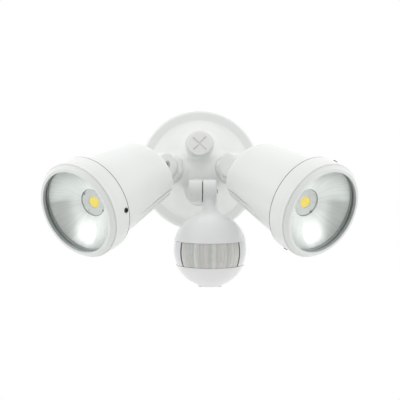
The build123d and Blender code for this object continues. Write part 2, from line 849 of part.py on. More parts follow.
    with BuildPart() as plate_screws:
        with BuildSketch(plate_face):
            with PolarLocations(plate_screw_ring, 3):
                Circle(plate_screw_head_r)
        extrude(amount=plate_screw_head_t)
        with BuildSketch(plate_face):
            with PolarLocations(plate_screw_ring, 3):
                Circle(plate_screw_r - running)
        extrude(amount=-heat_plate_t - plate_screw_bite)
        with BuildSketch(plate_face.offset(plate_screw_head_t)):
            with PolarLocations(plate_screw_ring, 3):
                Rectangle(plate_screw_head_r, driver_slot_w)
                Rectangle(driver_slot_w, plate_screw_head_r)
        extrude(amount=-plate_screw_head_t / 2, mode=Mode.SUBTRACT)
    save(plate_screws, f"{side}_plate_screws")

    with BuildPart() as led_module:
        with BuildSketch(plate_face):
            RectangleRounded(cob_side, cob_side, cob_round)
        extrude(amount=cob_t)
        with BuildSketch(plate_face.offset(cob_t)):
            Circle(phosphor_r)
        extrude(amount=phosphor_t)
    save(led_module, f"{side}_led_module")

    with BuildPart() as led_holder:
        # ring round the board, with a thin lip over the board's edge
        with BuildSketch(plate_face):
            Circle(holder_r)
            Rectangle(cob_side + 2 * fit, cob_side + 2 * fit, mode=Mode.SUBTRACT)
        extrude(amount=cob_t + running)
        with BuildSketch(plate_face.offset(cob_t + running)):
            Circle(holder_r)
            Circle(phosphor_r + holder_window, mode=Mode.SUBTRACT)
        extrude(amount=holder_lip)
    save(led_holder, f"{side}_led_holder")

    with BuildPart() as led_driver:
        middle = -(board_start + board_end) / 2
        ledge = Plane(origin=frame.origin, x_dir=frame.x_dir, z_dir=frame.y_dir * -1)
        with BuildSketch(ledge):
            with Locations((0, middle)):
                Rectangle(board_w, board_end - board_start)
        extrude(amount=board_t)
        # transformer and capacitor towards the front, choke towards the rear
        with BuildSketch(ledge.offset(board_t)):
            with Locations((-transformer_w / 2 + free, middle + transformer_l / 2 + free)):
                Rectangle(transformer_w, transformer_l)
        extrude(amount=transformer_h)
        with BuildSketch(ledge.offset(board_t)):
            with Locations((capacitor_r + 2 * free, middle + transformer_l / 2 + free)):
                Circle(capacitor_r)
        extrude(amount=capacitor_h)
        with BuildSketch(ledge.offset(board_t)):
            with Locations((0, middle - choke_l)):
                Rectangle(choke_w, choke_l)
        extrude(amount=choke_h)
    save(led_driver, f"{side}_led_driver")

# ---------------------------------------------------------------- motion sensor

hinge = hinge_plane("sensor")
pivot = hinge.origin + hinge.z_dir * (seam_gap + knuckle_t / 2)
drop = direction(0, ball_lean - QUARTER_TURN)
ball_drop = ball_r + sensor_neck
ball = Plane(origin=pivot + drop * ball_drop, x_dir=RIGHT,
             z_dir=direction(0, -ball_nod).cross(RIGHT))
ball_axis = axis_of(ball)
inner_r = ball_r - ball_wall
band_out_r = ball_r - band_sink
band_in_r = band_out_r - lens_t
pad_top = sqrt(ball_r ** 2 - pad_r ** 2)
pad_bottom = -pad_top - pad_proud
floor_height = ball_wall - pad_top
shell_screw_ring = inner_r - shell_screw_inset
shell_screw_seat = -ball_r / 2
sensor_board_r = shell_screw_ring - shell_post_r - free
board_post_ring = sensor_board_r - board_post_inset
board_height = shell_screw_seat - board_sink
board_under = board_height - board_t
band_low = band_bottom + fit
band_high = band_top - fit
dial_spots = [(-dial_x, 0), (dial_x, 0)]
shell_screw_x = shell_screw_ring * sin(radians(shell_screw_azimuth))
shell_screw_y = -shell_screw_ring * cos(radians(shell_screw_azimuth))
shell_screw_spots = [(-shell_screw_x, shell_screw_y), (shell_screw_x, shell_screw_y)]


def ball_section(azimuth):
    """Plane through the ball's own axis: x leaves the axis at this azimuth, y goes up."""
    turned = ball.moved(Rotation(0, 0, azimuth - QUARTER_TURN))
    return Plane(origin=turned.origin, x_dir=turned.x_dir, z_dir=turned.y_dir * -1)


def skin_band(outer, inner, low, high, start, end):
    """A piece of ball skin between two heights and two azimuths (0 is straight ahead)."""
    middle = (low + high) / 2
    with BuildPart() as band:
        with BuildSketch(ball_section(start)):
            with BuildLine():
                ThreePointArc(sphere_point(outer, low), sphere_point(outer, middle),
                              sphere_point(outer, high))
                Line(sphere_point(outer, high), sphere_point(inner, high))
                ThreePointArc(sphere_point(inner, high), sphere_point(inner, middle),
                              sphere_point(inner, low))
                Line(sphere_point(inner, low), sphere_point(outer, low))
            make_face()
        revolve(axis=ball_axis, revolution_arc=end - start)
    return band.part


rear_wall = skin_band(ball_r, inner_r, band_low, band_top, cheek_end + bar,
                      FULL_TURN - cheek_end - bar)
swing_space, knuckle_half, knuckle_hollow = carried_half("sensor", knuckle_t)
neck_face = Plane(origin=pivot, x_dir=RIGHT, z_dir=drop)
with BuildPart() as upper_shell:
    with BuildSketch(ball_section(0)):
        with BuildLine():
            ThreePointArc(sphere_point(ball_r, band_top), sphere_point(ball_r, ball_r / 2),
                          sphere_point(ball_r, ball_r))
            Line(sphere_point(ball_r, ball_r), sphere_point(inner_r, inner_r))
            ThreePointArc(sphere_point(inner_r, inner_r), sphere_point(inner_r, inner_r / 2),
                          sphere_point(inner_r, band_top))
            Line(sphere_point(inner_r, band_top), sphere_point(ball_r, band_top))
        make_face()
    revolve(axis=ball_axis)
    add(rear_wall)
    # posts for the two shell screws
    with BuildSketch(ball.offset(band_low)):
        with Locations(*shell_screw_spots):
            Circle(shell_post_r)
            Circle(shell_screw_r + running, mode=Mode.SUBTRACT)
    extrude(amount=shell_screw_top - band_low + shell_post_cap)
    # neck up to the knuckle, spreading into the ball
    with BuildSketch(section_of(neck_face)):
        with BuildLine():
            Polyline((0, 0), (sensor_neck_r, 0), (sensor_neck_r, ball_r - ball_drop + ball_wall),
                     (sensor_neck_r + sensor_neck_flare, inner_r - ball_drop),
                     (0, inner_r - ball_drop), close=True)
        make_face()
    revolve(axis=axis_of(neck_face))
    add(swing_space, mode=Mode.SUBTRACT)
    add(knuckle_half)
    add(knuckle_hollow, mode=Mode.SUBTRACT)
    with BuildSketch(neck_face.offset(knuckle_r / 2)):
        Circle(sensor_wire_r)
    extrude(amount=ball_drop - inner_r, mode=Mode.SUBTRACT)
save(upper_shell, "sensor_upper_shell")

with BuildPart() as lower_shell:
    with BuildSketch(ball_section(0)):
        with BuildLine():
            ThreePointArc(sphere_point(ball_r, band_bottom),
                          sphere_point(ball_r, (band_bottom - pad_top) / 2),
                          sphere_point(ball_r, -pad_top))
            Polyline(sphere_point(ball_r, -pad_top), (pad_r, pad_bottom), (0, pad_bottom),
                     (0, floor_height), sphere_point(inner_r, floor_height))
            ThreePointArc(sphere_point(inner_r, floor_height),
                          sphere_point(inner_r, (band_bottom + floor_height) / 2),
                          sphere_point(inner_r, band_bottom))
            Line(sphere_point(inner_r, band_bottom), sphere_point(ball_r, band_bottom))
        make_face()
    revolve(axis=ball_axis)
    # posts under the board
    with BuildSketch(ball.offset(board_under)):
        with PolarLocations(board_post_ring, 3, start_angle=QUARTER_TURN):
            Circle(board_post_r)
    extrude(amount=-sphere_point(inner_r, board_post_ring)[0] - board_under)
    # posts for the two shell screws, with a recess below each head
    with BuildSketch(ball.offset(band_bottom)):
        with Locations(*shell_screw_spots):
            Circle(shell_post_r)
    extrude(amount=shell_screw_seat - band_bottom)
    with BuildSketch(ball.offset(band_bottom)):
        with Locations(*shell_screw_spots):
            Circle(shell_screw_r + fit)
    extrude(amount=shell_screw_seat - band_bottom, mode=Mode.SUBTRACT)
    with BuildSketch(ball.offset(shell_screw_seat)):
        with Locations(*shell_screw_spots):
            Circle(shell_screw_head_r + fit)
    extrude(amount=-ball_r, mode=Mode.SUBTRACT)
    # seats and shaft holes of the two dials
    with BuildSketch(ball.offset(pad_bottom)):
        with Locations(*dial_spots):
            Circle(dial_r + free)
    extrude(amount=dial_t - dial_proud + free, mode=Mode.SUBTRACT)
    with BuildSketch(ball.offset(pad_bottom)):
        with Locations(*dial_spots):
            Circle(dial_shaft_r + running)
    extrude(amount=floor_height - pad_bottom, mode=Mode.SUBTRACT)
save(lower_shell, "sensor_lower_shell")

with BuildPart() as shell_screws:
    with BuildSketch(ball.offset(shell_screw_seat)):
        with Locations(*shell_screw_spots):
            Circle(shell_screw_head_r)
    extrude(amount=-shell_screw_head_t)
    with BuildSketch(ball.offset(shell_screw_seat)):
        with Locations(*shell_screw_spots):
            Circle(shell_screw_r)
    extrude(amount=shell_screw_top - shell_screw_seat)
    with BuildSketch(ball.offset(shell_screw_seat - shell_screw_head_t)):
        with Locations(*shell_screw_spots):
            Rectangle(shell_screw_head_r, driver_slot_w)
            Rectangle(driver_slot_w, shell_screw_head_r)
    extrude(amount=shell_screw_head_t / 2, mode=Mode.SUBTRACT)
save(shell_screws, "sensor_shell_screws")

with BuildPart() as lens:
    add(skin_band(band_out_r, band_in_r, band_low, band_high, -lens_half, lens_half))
save(lens, "sensor_lens")

with BuildPart() as side_panes:
    for start, end in ((lens_half + bar, cheek_end), (-cheek_end, -lens_half - bar)):
        add(skin_band(band_out_r, band_in_r, band_low, band_high, start, end))
save(side_panes, "sensor_side_panes")

with BuildPart() as lens_bars:
    for start in (-cheek_end - bar, -lens_half - bar, lens_half, cheek_end):
        add(skin_band(band_out_r - band_sink, band_in_r, band_low, band_high,
                      start + bar_gap, start + bar - bar_gap))
save(lens_bars, "sensor_lens_bars")

with BuildPart() as sensor_board:
    with BuildSketch(ball.offset(board_height)):
        Circle(sensor_board_r)
    extrude(amount=-board_t)
    # the two controls under the board
    with BuildSketch(ball.offset(board_under)):
        with Locations(*dial_spots):
            Circle(pot_r)
            Circle(dial_shaft_r + running, mode=Mode.SUBTRACT)
    extrude(amount=-pot_h)
save(sensor_board, "sensor_board")

with BuildPart() as relay:
    with BuildSketch(ball.offset(board_height)):
        with Locations((0, relay_back + relay_d / 2)):
            Rectangle(relay_w, relay_d)
    extrude(amount=relay_h)
    fillet(relay.edges().filter_by(ball_axis), relay_round)
save(relay, "sensor_relay")

with BuildPart() as stand:
    with BuildSketch(ball.offset(board_height)):
        with Locations((0, stand_d / 2 - detector_forward)):
            Rectangle(stand_w, stand_d)
    extrude(amount=detector_height + stand_w / 2 - board_height)
save(stand, "sensor_detector_stand")

with BuildPart() as detector:
    eye = Plane(origin=ball.from_local_coords((0, -detector_forward, detector_height)),
                x_dir=RIGHT, z_dir=ball.y_dir * -1)
    with BuildSketch(eye):
        Circle(detector_r)
    extrude(amount=detector_flange)
    with BuildSketch(eye.offset(detector_flange)):
        Circle(detector_r - detector_flange)
    extrude(amount=detector_t - detector_flange)
save(detector, "sensor_detector")

dial_face = ball.offset(pad_bottom - dial_proud)
for dial_name, spot in zip(("time_dial", "range_dial"), dial_spots):
    with BuildPart() as dial:
        with BuildSketch(dial_face):
            with Locations(spot):
                Circle(dial_r)
        extrude(amount=dial_t)
        with BuildSketch(dial_face):
            with Locations(spot):
                Rectangle(2 * (dial_r - dial_slot_edge), dial_slot_w)
        extrude(amount=dial_proud, mode=Mode.SUBTRACT)
        with BuildSketch(dial_face.offset(dial_t)):
            with Locations(spot):
                Circle(dial_shaft_r)
        extrude(amount=board_under - free - pad_bottom + dial_proud - dial_t)
    save(dial, dial_name)
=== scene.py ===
import bmesh
import bpy
import numpy as np
import openvdb
from math import cos, pi, radians, sin, sqrt, tan
from mathutils import Matrix, Vector


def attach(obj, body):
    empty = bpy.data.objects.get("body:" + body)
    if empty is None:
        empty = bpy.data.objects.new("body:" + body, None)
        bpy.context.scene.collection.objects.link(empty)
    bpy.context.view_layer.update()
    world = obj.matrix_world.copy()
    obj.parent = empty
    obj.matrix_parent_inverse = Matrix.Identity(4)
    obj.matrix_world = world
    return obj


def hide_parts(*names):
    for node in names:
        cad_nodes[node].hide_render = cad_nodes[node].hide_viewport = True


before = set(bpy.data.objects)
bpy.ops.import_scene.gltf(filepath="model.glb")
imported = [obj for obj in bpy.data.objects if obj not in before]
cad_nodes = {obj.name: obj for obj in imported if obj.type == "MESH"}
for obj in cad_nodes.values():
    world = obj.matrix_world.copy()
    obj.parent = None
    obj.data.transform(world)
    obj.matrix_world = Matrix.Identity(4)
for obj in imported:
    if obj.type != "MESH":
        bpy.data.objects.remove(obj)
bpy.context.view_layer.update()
for kept in cad_nodes.values():
    kept.data.materials.clear()
for plain in list(bpy.data.materials):
    bpy.data.materials.remove(plain)

# ------------------------------------------------------------------ studio
# A catalogue shot against white: the camera stands level with the middle of the light, a
# long lens away, and large soft boxes above and beside it leave almost no shadow.

MM = 0.001
FOCAL_LENGTH, FILM_WIDTH = 106.956, 36.0
CAMERA_X, CAMERA_Y, CAMERA_Z = 0.4, -1200, -29.35
FLOOR_R, FLOOR_Z = 0.4, -0.3
bpy.context.scene.view_settings.view_transform = "Standard"

camera_data = bpy.data.cameras.new("catalogue_camera")
camera_data.sensor_width = FILM_WIDTH
camera_data.lens = FOCAL_LENGTH
camera_data.clip_start = 0.01
camera = bpy.data.objects.new("catalogue_camera", camera_data)
camera.location = (CAMERA_X * MM, CAMERA_Y * MM, CAMERA_Z * MM)
camera.rotation_euler = (radians(90), 0, 0)
bpy.context.scene.collection.objects.link(camera)
bpy.context.scene.camera = camera


def linear(colour):
    """Linear RGBA of an sRGB hex colour."""
    parts = [int(colour[i:i + 2], 16) / 255 for i in (1, 3, 5)]
    return [c / 12.92 if c <= 0.04045 else ((c + 0.055) / 1.055) ** 2.4 for c in parts] + [1.0]


def add(tree, kind, sets=(), links=(), **settings):
    """Adds one node, with its settings, its input values and the sockets that feed it."""
    new = tree.nodes.new(kind)
    for name, value in settings.items():
        setattr(new, name, value)
    for name, value in dict(sets).items():
        new.inputs[name].default_value = value
    for name, source in dict(links).items():
        tree.links.new(source, new.inputs[name])
    return new


def maths(tree, operation, a, b=None):
    """One math node between sockets or numbers."""
    new = add(tree, "ShaderNodeMath", operation=operation)
    for number, value in enumerate((a, b)):
        if isinstance(value, (int, float)):
            new.inputs[number].default_value = value
        elif value is not None:
            tree.links.new(value, new.inputs[number])
    return new.outputs[0]


def new_material(name):
    """An empty node material, its tree, its output node and the piece's own coordinates."""
    material = bpy.data.materials.new(name)
    material.use_nodes = True
    tree = material.node_tree
    tree.nodes.clear()
    output = add(tree, "ShaderNodeOutputMaterial")
    return material, tree, output, add(tree, "ShaderNodeTexCoord").outputs["Object"]


def surface(tree, output, sets, links):
    """The shader that a material shows."""
    tree.links.new(add(tree, "ShaderNodeBsdfPrincipled", sets, links).outputs[0],
                   output.inputs[0])


def two_tones(tree, place, tint, shade, scale, detail=2.0):
    """Soft clouds of two tints, and the clouds' own value."""
    clouds = add(tree, "ShaderNodeTexNoise", {"Scale": scale, "Detail": detail},
                 {"Vector": place}).outputs["Fac"]
    mixed = add(tree, "ShaderNodeMix", {"A": linear(tint), "B": linear(shade)},
                {"Factor": clouds}, data_type="RGBA")
    return mixed.outputs["Result"], clouds


def bumped(tree, place, scale, strength, depth_mm, detail=1.0):
    """Normal of a fine noise relief."""
    relief = add(tree, "ShaderNodeTexNoise", {"Scale": scale, "Detail": detail},
                 {"Vector": place})
    return add(tree, "ShaderNodeBump", {"Strength": strength, "Distance": depth_mm * MM},
               {"Height": relief.outputs["Fac"]}).outputs[0]


# White room: the camera sees pure white behind the light. Walls, ceiling and table give a
# softer fill, dimmer behind the camera. Mirrors see tall white screens at both sides, a white
# table and a white wall, with dark gaps between them, which the reflectors draw as wedges.
white_room = bpy.data.worlds.new("white_room")
white_room.use_nodes = True
tree = white_room.node_tree
tree.nodes.clear()
seen = add(tree, "ShaderNodeBackground", {"Color": linear("#FFFFFF"), "Strength": 1.0})
way = add(tree, "ShaderNodeSeparateXYZ", (),
          {"Vector": add(tree, "ShaderNodeTexCoord").outputs["Generated"]})
dim_side = add(tree, "ShaderNodeMapRange", {"From Min": -0.95, "From Max": -0.35,
                                            "To Min": 0.42, "To Max": 0.96},
               {"Value": way.outputs["Y"]}, interpolation_type="SMOOTHSTEP")
fill = add(tree, "ShaderNodeBackground", {"Color": linear("#FBFDFC")},
           {"Strength": dim_side.outputs[0]})
# side screens, table and wall: how far along each direction the white starts and is full
brightest = 0.0
for along, start, end in ((maths(tree, "ABSOLUTE", way.outputs["X"]), 0.5, 0.72),
                          (way.outputs["Z"], -0.72, -0.9), (way.outputs["Y"], 0.0, 0.4)):
    screen = add(tree, "ShaderNodeMapRange", {"From Min": start, "From Max": end},
                 {"Value": along}, interpolation_type="SMOOTHSTEP").outputs[0]
    brightest = maths(tree, "MAXIMUM", brightest, screen)
screen_light = add(tree, "ShaderNodeMapRange", {"To Min": 0.42, "To Max": 1.3},
                   {"Value": brightest})
screens = add(tree, "ShaderNodeBackground", {"Color": linear("#FDFDFC")},
              {"Strength": screen_light.outputs[0]})
path = add(tree, "ShaderNodeLightPath").outputs
around = add(tree, "ShaderNodeMixShader", (), {0: path["Is Glossy Ray"], 1: fill.outputs[0],
                                               2: screens.outputs[0]})
choice = add(tree, "ShaderNodeMixShader", (), {0: path["Is Camera Ray"], 1: around.outputs[0],
                                               2: seen.outputs[0]})
tree.links.new(choice.outputs[0], add(tree, "ShaderNodeOutputWorld").inputs[0])
bpy.context.scene.world = white_room


def soft_box(name, place, size, power, target=(0, -0.08, -0.03)):
    """A square lamp that faces the target, and that no mirror shows."""
    data = bpy.data.lights.new(name, "AREA")
    data.shape = "SQUARE"
    data.size = size
    data.energy = power
    lamp = bpy.data.objects.new(name, data)
    lamp.location = place
    lamp.visible_glossy = False
    lamp.rotation_euler = (Vector(target) - Vector(place)).to_track_quat("-Z", "Y").to_euler()
    bpy.context.scene.collection.objects.link(lamp)


soft_box("left_box", (-1.15, -0.75, 0.35), 1.0, 2.8)
soft_box("right_box", (1.15, -0.75, 0.35), 1.0, 2.8)
soft_box("overhead_box", (-0.1, -0.45, 0.95), 0.8, 1.1)

matt_paper, tree, output, place = new_material("matt_paper")
tone = two_tones(tree, place, "#F4F4F2", "#EFEFED", 900.0, 3.0)[0]
surface(tree, output, {"Roughness": 0.95}, {"Base Color": tone})
floor_shape = bmesh.new()
bmesh.ops.create_circle(floor_shape, cap_ends=True, segments=96, radius=FLOOR_R)
bmesh.ops.translate(floor_shape, verts=floor_shape.verts, vec=(0, 0, FLOOR_Z))
floor_mesh = bpy.data.meshes.new("studio_floor")
floor_shape.to_mesh(floor_mesh)
floor_shape.free()
floor_mesh.materials.append(matt_paper)
studio_floor = bpy.data.objects.new("studio_floor", floor_mesh)
bpy.context.scene.collection.objects.link(studio_floor)

# ------------------------------------------------------------------ wall plate
# The wall plate is a gravity-cast aluminium dome with four ports for the arms. It is shot
# blasted and powder coated white, so no edge of it is sharp and every corner is filleted.

# White powder coat on cast aluminium: a satin, faintly uneven skin, pale grey-green in the
# shade, with the very fine orange peel that the baked powder leaves.
white_powder_coat, tree, output, place = new_material("white_powder_coat")
tone, clouds = two_tones(tree, place, "#F2F3F1", "#EDEFED", 28.0)
gloss = add(tree, "ShaderNodeMapRange", {"To Min": 0.33, "To Max": 0.44}, {"Value": clouds})
# the peel of the real coat is about 1.2 mm from crest to crest
surface(tree, output, {"IOR": 1.5},
        {"Base Color": tone, "Roughness": gloss.outputs[0],
         "Normal": bumped(tree, place, 800.0, 0.06, 0.2)})


def stand(origin, z, x=None):
    """A piece's own frame in millimetres: origin, and the axes as the columns of a matrix."""
    z = np.array(z, float) / np.linalg.norm(z)
    x = np.array(x if x is not None else np.cross(z, (0, 0, 1)), float)
    x = x / np.linalg.norm(x)
    return np.array(origin, float), np.stack([x, np.cross(z, x), z], axis=1)


def heading(azimuth, elevation):
    """Unit vector that leaves the wall, turned to the right and raised, in degrees."""
    level = cos(radians(elevation))
    return np.array([sin(radians(azimuth)) * level, -cos(radians(azimuth)) * level,
                     sin(radians(elevation))])


own = stand((0, 0, 0), (0, 0, 1), (1, 0, 0))


def section_depth(radius, height, profile):
    """Signed distance, negative inside, to a closed outline of (radius, height) points."""
    near = np.full(radius.shape, 1e9)
    inside = np.ones(radius.shape)
    for i, (end_r, end_h) in enumerate(profile):
        start_r, start_h = profile[i - 1]
        edge_r, edge_h = end_r - start_r, end_h - start_h
        if edge_r == edge_h == 0:
            continue
        off_r, off_h = radius - start_r, height - start_h
        share = np.clip((off_r * edge_r + off_h * edge_h) / (edge_r ** 2 + edge_h ** 2), 0, 1)
        near = np.minimum(near, (off_r - edge_r * share) ** 2 + (off_h - edge_h * share) ** 2)
        above, below = height >= start_h, height < end_h
        left = edge_r * off_h > edge_h * off_r
        inside = np.where((above & below & left) | (~above & ~below & ~left), -inside, inside)
    return inside * np.sqrt(near)


def turned(points, place, profile):
    """Depth field of a turned solid. A profile that starts and ends on the axis is solid."""
    origin, axes = place
    local = (points - origin) @ axes
    radius, height = np.hypot(local[..., 0], local[..., 1]), local[..., 2]
    if profile[0][0] == 0 and profile[-1][0] == 0:
        profile = list(profile) + [(-r, h) for r, h in reversed(profile) if r > 0]
    if radius.size < 500000:
        return section_depth(radius, height, profile)
    # for a whole grid, the section is worked out once and read off
    grain = 0.2
    rs = np.arange(0, radius.max() + 2 * grain, grain)
    hs = np.arange(height.min() - grain, height.max() + 2 * grain, grain)
    table = section_depth(*np.meshgrid(rs, hs, indexing="ij"), profile)
    u, v = radius / grain, (height - hs[0]) / grain
    i, j = u.astype(int), v.astype(int)
    u, v = u - i, v - j
    return ((table[i, j] * (1 - u) + table[i + 1, j] * u) * (1 - v)
            + (table[i, j + 1] * (1 - u) + table[i + 1, j + 1] * u) * v)


def join(a, b, fillet):
    """Union of two depth fields with a round fillet where they meet."""
    return np.maximum(fillet, np.minimum(a, b)) - np.hypot(np.maximum(fillet - a, 0),
                                                           np.maximum(fillet - b, 0))


def trim(a, b, rounding):
    """What two depth fields share, with rounded edges."""
    return np.minimum(-rounding, np.maximum(a, b)) + np.hypot(np.maximum(rounding + a, 0),
                                                              np.maximum(rounding + b, 0))


def cut(a, b, rounding):
    """The first depth field without the second, with a rounded rim."""
    return trim(a, -b, rounding)


def cylinder(radius, start, end, inner=0):
    """Outline of a cylinder between two heights, or of a ring with an inner radius."""
    return [(inner, start), (radius, start), (radius, end), (inner, end)]


def placed(points, place):
    """Points of a piece's own frame in millimetres, put in the row's frame in metres."""
    origin, axes = place
    return (origin + points @ axes.T) * MM


def linked(name, mesh):
    """A new object of the scene that shows the mesh."""
    made = bpy.data.objects.new(name, mesh)
    bpy.context.scene.collection.objects.link(made)
    return made


def finish_piece(name, mesh, body, material, replaced=()):
    """Puts a finished mesh on its body and in its material, and hides the frame's pieces that it
    replaces.
    """
    mesh.name = name
    piece = linked(name, mesh)
    mesh.materials.clear()
    mesh.materials.append(material)
    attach(piece, body)
    if replaced:
        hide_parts(*replaced)
    return piece


def closed(shape, mesh, crease=0):
    """Writes a closed shape into the mesh, faces outward, smooth up to the crease's angle."""
    if shape.calc_volume(signed=True) < 0:
        bmesh.ops.reverse_faces(shape, faces=shape.faces)
    shape.to_mesh(mesh)
    shape.free()
    mesh.shade_smooth()
    if crease:
        mesh.set_sharp_from_angle(angle=radians(crease))
    return mesh


def skin_of(field, low, high, cell, place=own):
    """Mesh of a depth field's skin, sampled in the place's own frame between two corners."""
    spans = [np.arange(a - 2 * cell, b + 3 * cell, cell) for a, b in zip(low, high)]
    depth = field(np.stack(np.meshgrid(*spans, indexing="ij"), axis=-1))
    volume = openvdb.FloatGrid()
    volume.copyFromArray(depth.astype(np.float32))
    corners, triangles, quads = volume.convertToPolygons(isovalue=0.0)
    corners = corners.astype(float) * cell + [s[0] for s in spans]
    # one short step onto the exact skin
    slope = np.stack([field(corners + step) - field(corners - step)
                      for step in np.eye(3) * 0.05], axis=-1)
    slope /= np.maximum(np.linalg.norm(slope, axis=1, keepdims=True), 1e-9)
    corners -= slope * np.clip(field(corners), -cell / 2, cell / 2)[:, None]
    mesh = bpy.data.meshes.new("skin")
    mesh.from_pydata(placed(corners, place).tolist(), [], quads.tolist() + triangles.tolist())
    shape = bmesh.new()
    shape.from_mesh(mesh)
    return closed(shape, mesh)


PORT_DEPTH = 42.0
ports = {
    "left": stand((-25.5, -PORT_DEPTH, 0), heading(-39.7, 12)),
    "right": stand((25.5, -PORT_DEPTH, 0), heading(39.7, 12)),
    "sensor": stand((0, -PORT_DEPTH, -21.3), heading(0, 0), (1, 0, 0)),
    "plug": stand((0, -PORT_DEPTH, 24.5), heading(0, 12), (1, 0, 0)),
}
off_wall = stand((0, 0, 0), (0, -1, 0), (1, 0, 0))
PLATE_R, RIM_IN_R, HOLLOW_R, GASKET_R, PLATE_WALL = 59.97, 50.5, 51.0, 57.0, 3.0
DOME_BALL_R, DOME_CENTRE = 59.96, -23.96
PORT_BORE, BOSS_R, BOSS_LENGTH = 10.25, 14.3, 24.0
POST_X, POST_R, POST_DEPTH, POST_SINK_R, POST_BORE_R = 44.45, 5.6, 16.0, 4.3, 2.15


def dome(radius, inset=0.0):
    """Point of the dome's section, on its skin or this far inside it."""
    return radius, DOME_CENTRE + sqrt((DOME_BALL_R - inset) ** 2 - radius ** 2)


def wall_plate_skin(points):
    skin = turned(points, off_wall, [(0, 0), (PLATE_R, 0), (PLATE_R, 6.5), (58.0, 9.0),
                                     (RIM_IN_R, 9.8)]
                  + [dome(r) for r in (46, 42, 38, 34, 30, 26, 22, 18, 14, 10, 5, 0)])
    bosses = 1e3
    for port in ports.values():
        boss = turned(points, port, [(0, 0), (BOSS_R, 0), (BOSS_R, -5.0), (17.2, -15.0),
                                     (21.3, -BOSS_LENGTH), (0, -BOSS_LENGTH)])
        bosses = join(bosses, boss, 9.0)
    skin = join(skin, bosses, 11.0)
    inside = turned(points, off_wall,
                    [(0, -2), (GASKET_R, -2), (GASKET_R, 5.0), (HOLLOW_R, 5.0), (HOLLOW_R, 6.0)]
                    + [dome(r, PLATE_WALL) for r in (43, 39, 34, 29, 24, 18, 12, 6, 0)])
    skin = cut(skin, inside, 0.4)
    for side in (-1, 1):
        post = stand((side * POST_X, 0, 0), (0, -1, 0), (1, 0, 0))
        skin = join(skin, turned(points, post, cylinder(POST_R, 2.0, POST_DEPTH)), 0.8)
        skin = cut(skin, turned(points, post, cylinder(POST_SINK_R, POST_DEPTH, 60)), 0.5)
        skin = cut(skin, turned(points, post, cylinder(POST_BORE_R, -1, 20)), 0.2)
    for port in ports.values():
        bore = turned(points, port, cylinder(PORT_BORE, 2.0, -BOSS_LENGTH - 1))
        skin = cut(skin, bore, 0.5)
    return skin


finish_piece("wall_plate_casting",
             skin_of(wall_plate_skin, (-60, -60, -60), (60, 0, 60), 0.85),
             "wall_plate", white_powder_coat, ["canopy"])


def dress(material, *names):
    """Gives the kept solids of the frame their finish."""
    for name in names:
        mesh = cad_nodes[name].data
        mesh.materials.clear()
        mesh.materials.append(material)


# ------------------------------------------------------------------ behind the plate
# Foam rubber gasket, pressed steel mounting bracket, nylon terminal block with brass screws:
# bought-in parts that the plate hides once it is screwed to the wall.

# EPDM rubber: near black and matt, with a fine mould texture. On the bezels it also paints the
# shadow of the seam.
seal_black, tree, output, place = new_material("seal_black")
tone = two_tones(tree, place, "#1B1B1C", "#242425", 300.0, 3.0)[0]
surface(tree, output, {"IOR": 1.52, "Roughness": 0.7},
        {"Base Color": tone, "Normal": bumped(tree, place, 2500.0, 0.2, 0.05)})
dress(seal_black, "wall_gasket", "left_knuckle_seal", "right_knuckle_seal",
      "sensor_knuckle_seal", "left_bezel_seal", "right_bezel_seal")


def metal(name, tint, shade, grain, rough_low, rough_high, stretch=(1, 1, 1)):
    """Plain metal with the fine lines or mottle that its making leaves."""
    material, tree, output, place = new_material(name)
    turned_place = add(tree, "ShaderNodeMapping", {"Scale": stretch}, {"Vector": place})
    tone, clouds = two_tones(tree, turned_place.outputs[0], tint, shade, grain, 3.0)
    gloss = add(tree, "ShaderNodeMapRange", {"To Min": rough_low, "To Max": rough_high},
                {"Value": clouds})
    surface(tree, output, {"Metallic": 1.0},
            {"Base Color": tone, "Roughness": gloss.outputs[0]})
    return material


# Zinc-plated steel: bluish grey, with the rolled sheet's faint streaks.
steel = metal("steel", "#C3C6C9", "#AEB2B6", 120.0, 0.28, 0.42, (1, 1, 12))
# Blackened stainless steel: dark grey, satin.
dark_steel = metal("dark_steel", "#4A4C4E", "#3A3C3E", 400.0, 0.35, 0.5)
# Turned brass: warm yellow with fine tool marks.
brass = metal("brass", "#D9B565", "#C9A14F", 600.0, 0.22, 0.36)
# Sawn and milled aluminium: light grey, directional mill grain.
bare_aluminium = metal("bare_aluminium", "#D5D7D9", "#C4C7C9", 260.0, 0.3, 0.45, (1, 14, 1))
dress(steel, "mounting_bracket", "canopy_screws", "left_plate_screws", "right_plate_screws",
      "sensor_shell_screws", "sensor_detector", "left_clamp_screw", "right_clamp_screw")
dress(brass, "earth_screw", "terminal_screws")
dress(bare_aluminium, "left_heat_plate", "right_heat_plate")
dress(dark_steel, "sensor_clamp_screw")


def plastic(name, tint, shade, rough_low, rough_high, ior=1.53):
    """Injection-moulded plastic with faint flow clouds and the mould's spark texture."""
    material, tree, output, place = new_material(name)
    tone, clouds = two_tones(tree, place, tint, shade, 45.0)
    gloss = add(tree, "ShaderNodeMapRange", {"To Min": rough_low, "To Max": rough_high},
                {"Value": clouds})
    surface(tree, output, {"IOR": ior},
            {"Base Color": tone, "Roughness": gloss.outputs[0],
             "Normal": bumped(tree, place, 1800.0, 0.05, 0.1)})
    return material


# Nylon: translucent cream white, slightly glossy.
terminal_plastic = plastic("terminal_plastic", "#EFEAD9", "#E6E0CC", 0.35, 0.45)
dress(terminal_plastic, "terminal_block")

# ------------------------------------------------------------------ blanking plug
# The unused port is closed by a moulded nylon plug on a rubber ring. Its face has a diagonal
# cross slot for a wide driver, with a round pit at the end of each arm of the slot.

# Nylon plug: white, satin, a touch cooler than the powder coat.
white_plastic = plastic("white_plastic", "#F2F2F1", "#ECECEB", 0.34, 0.42)


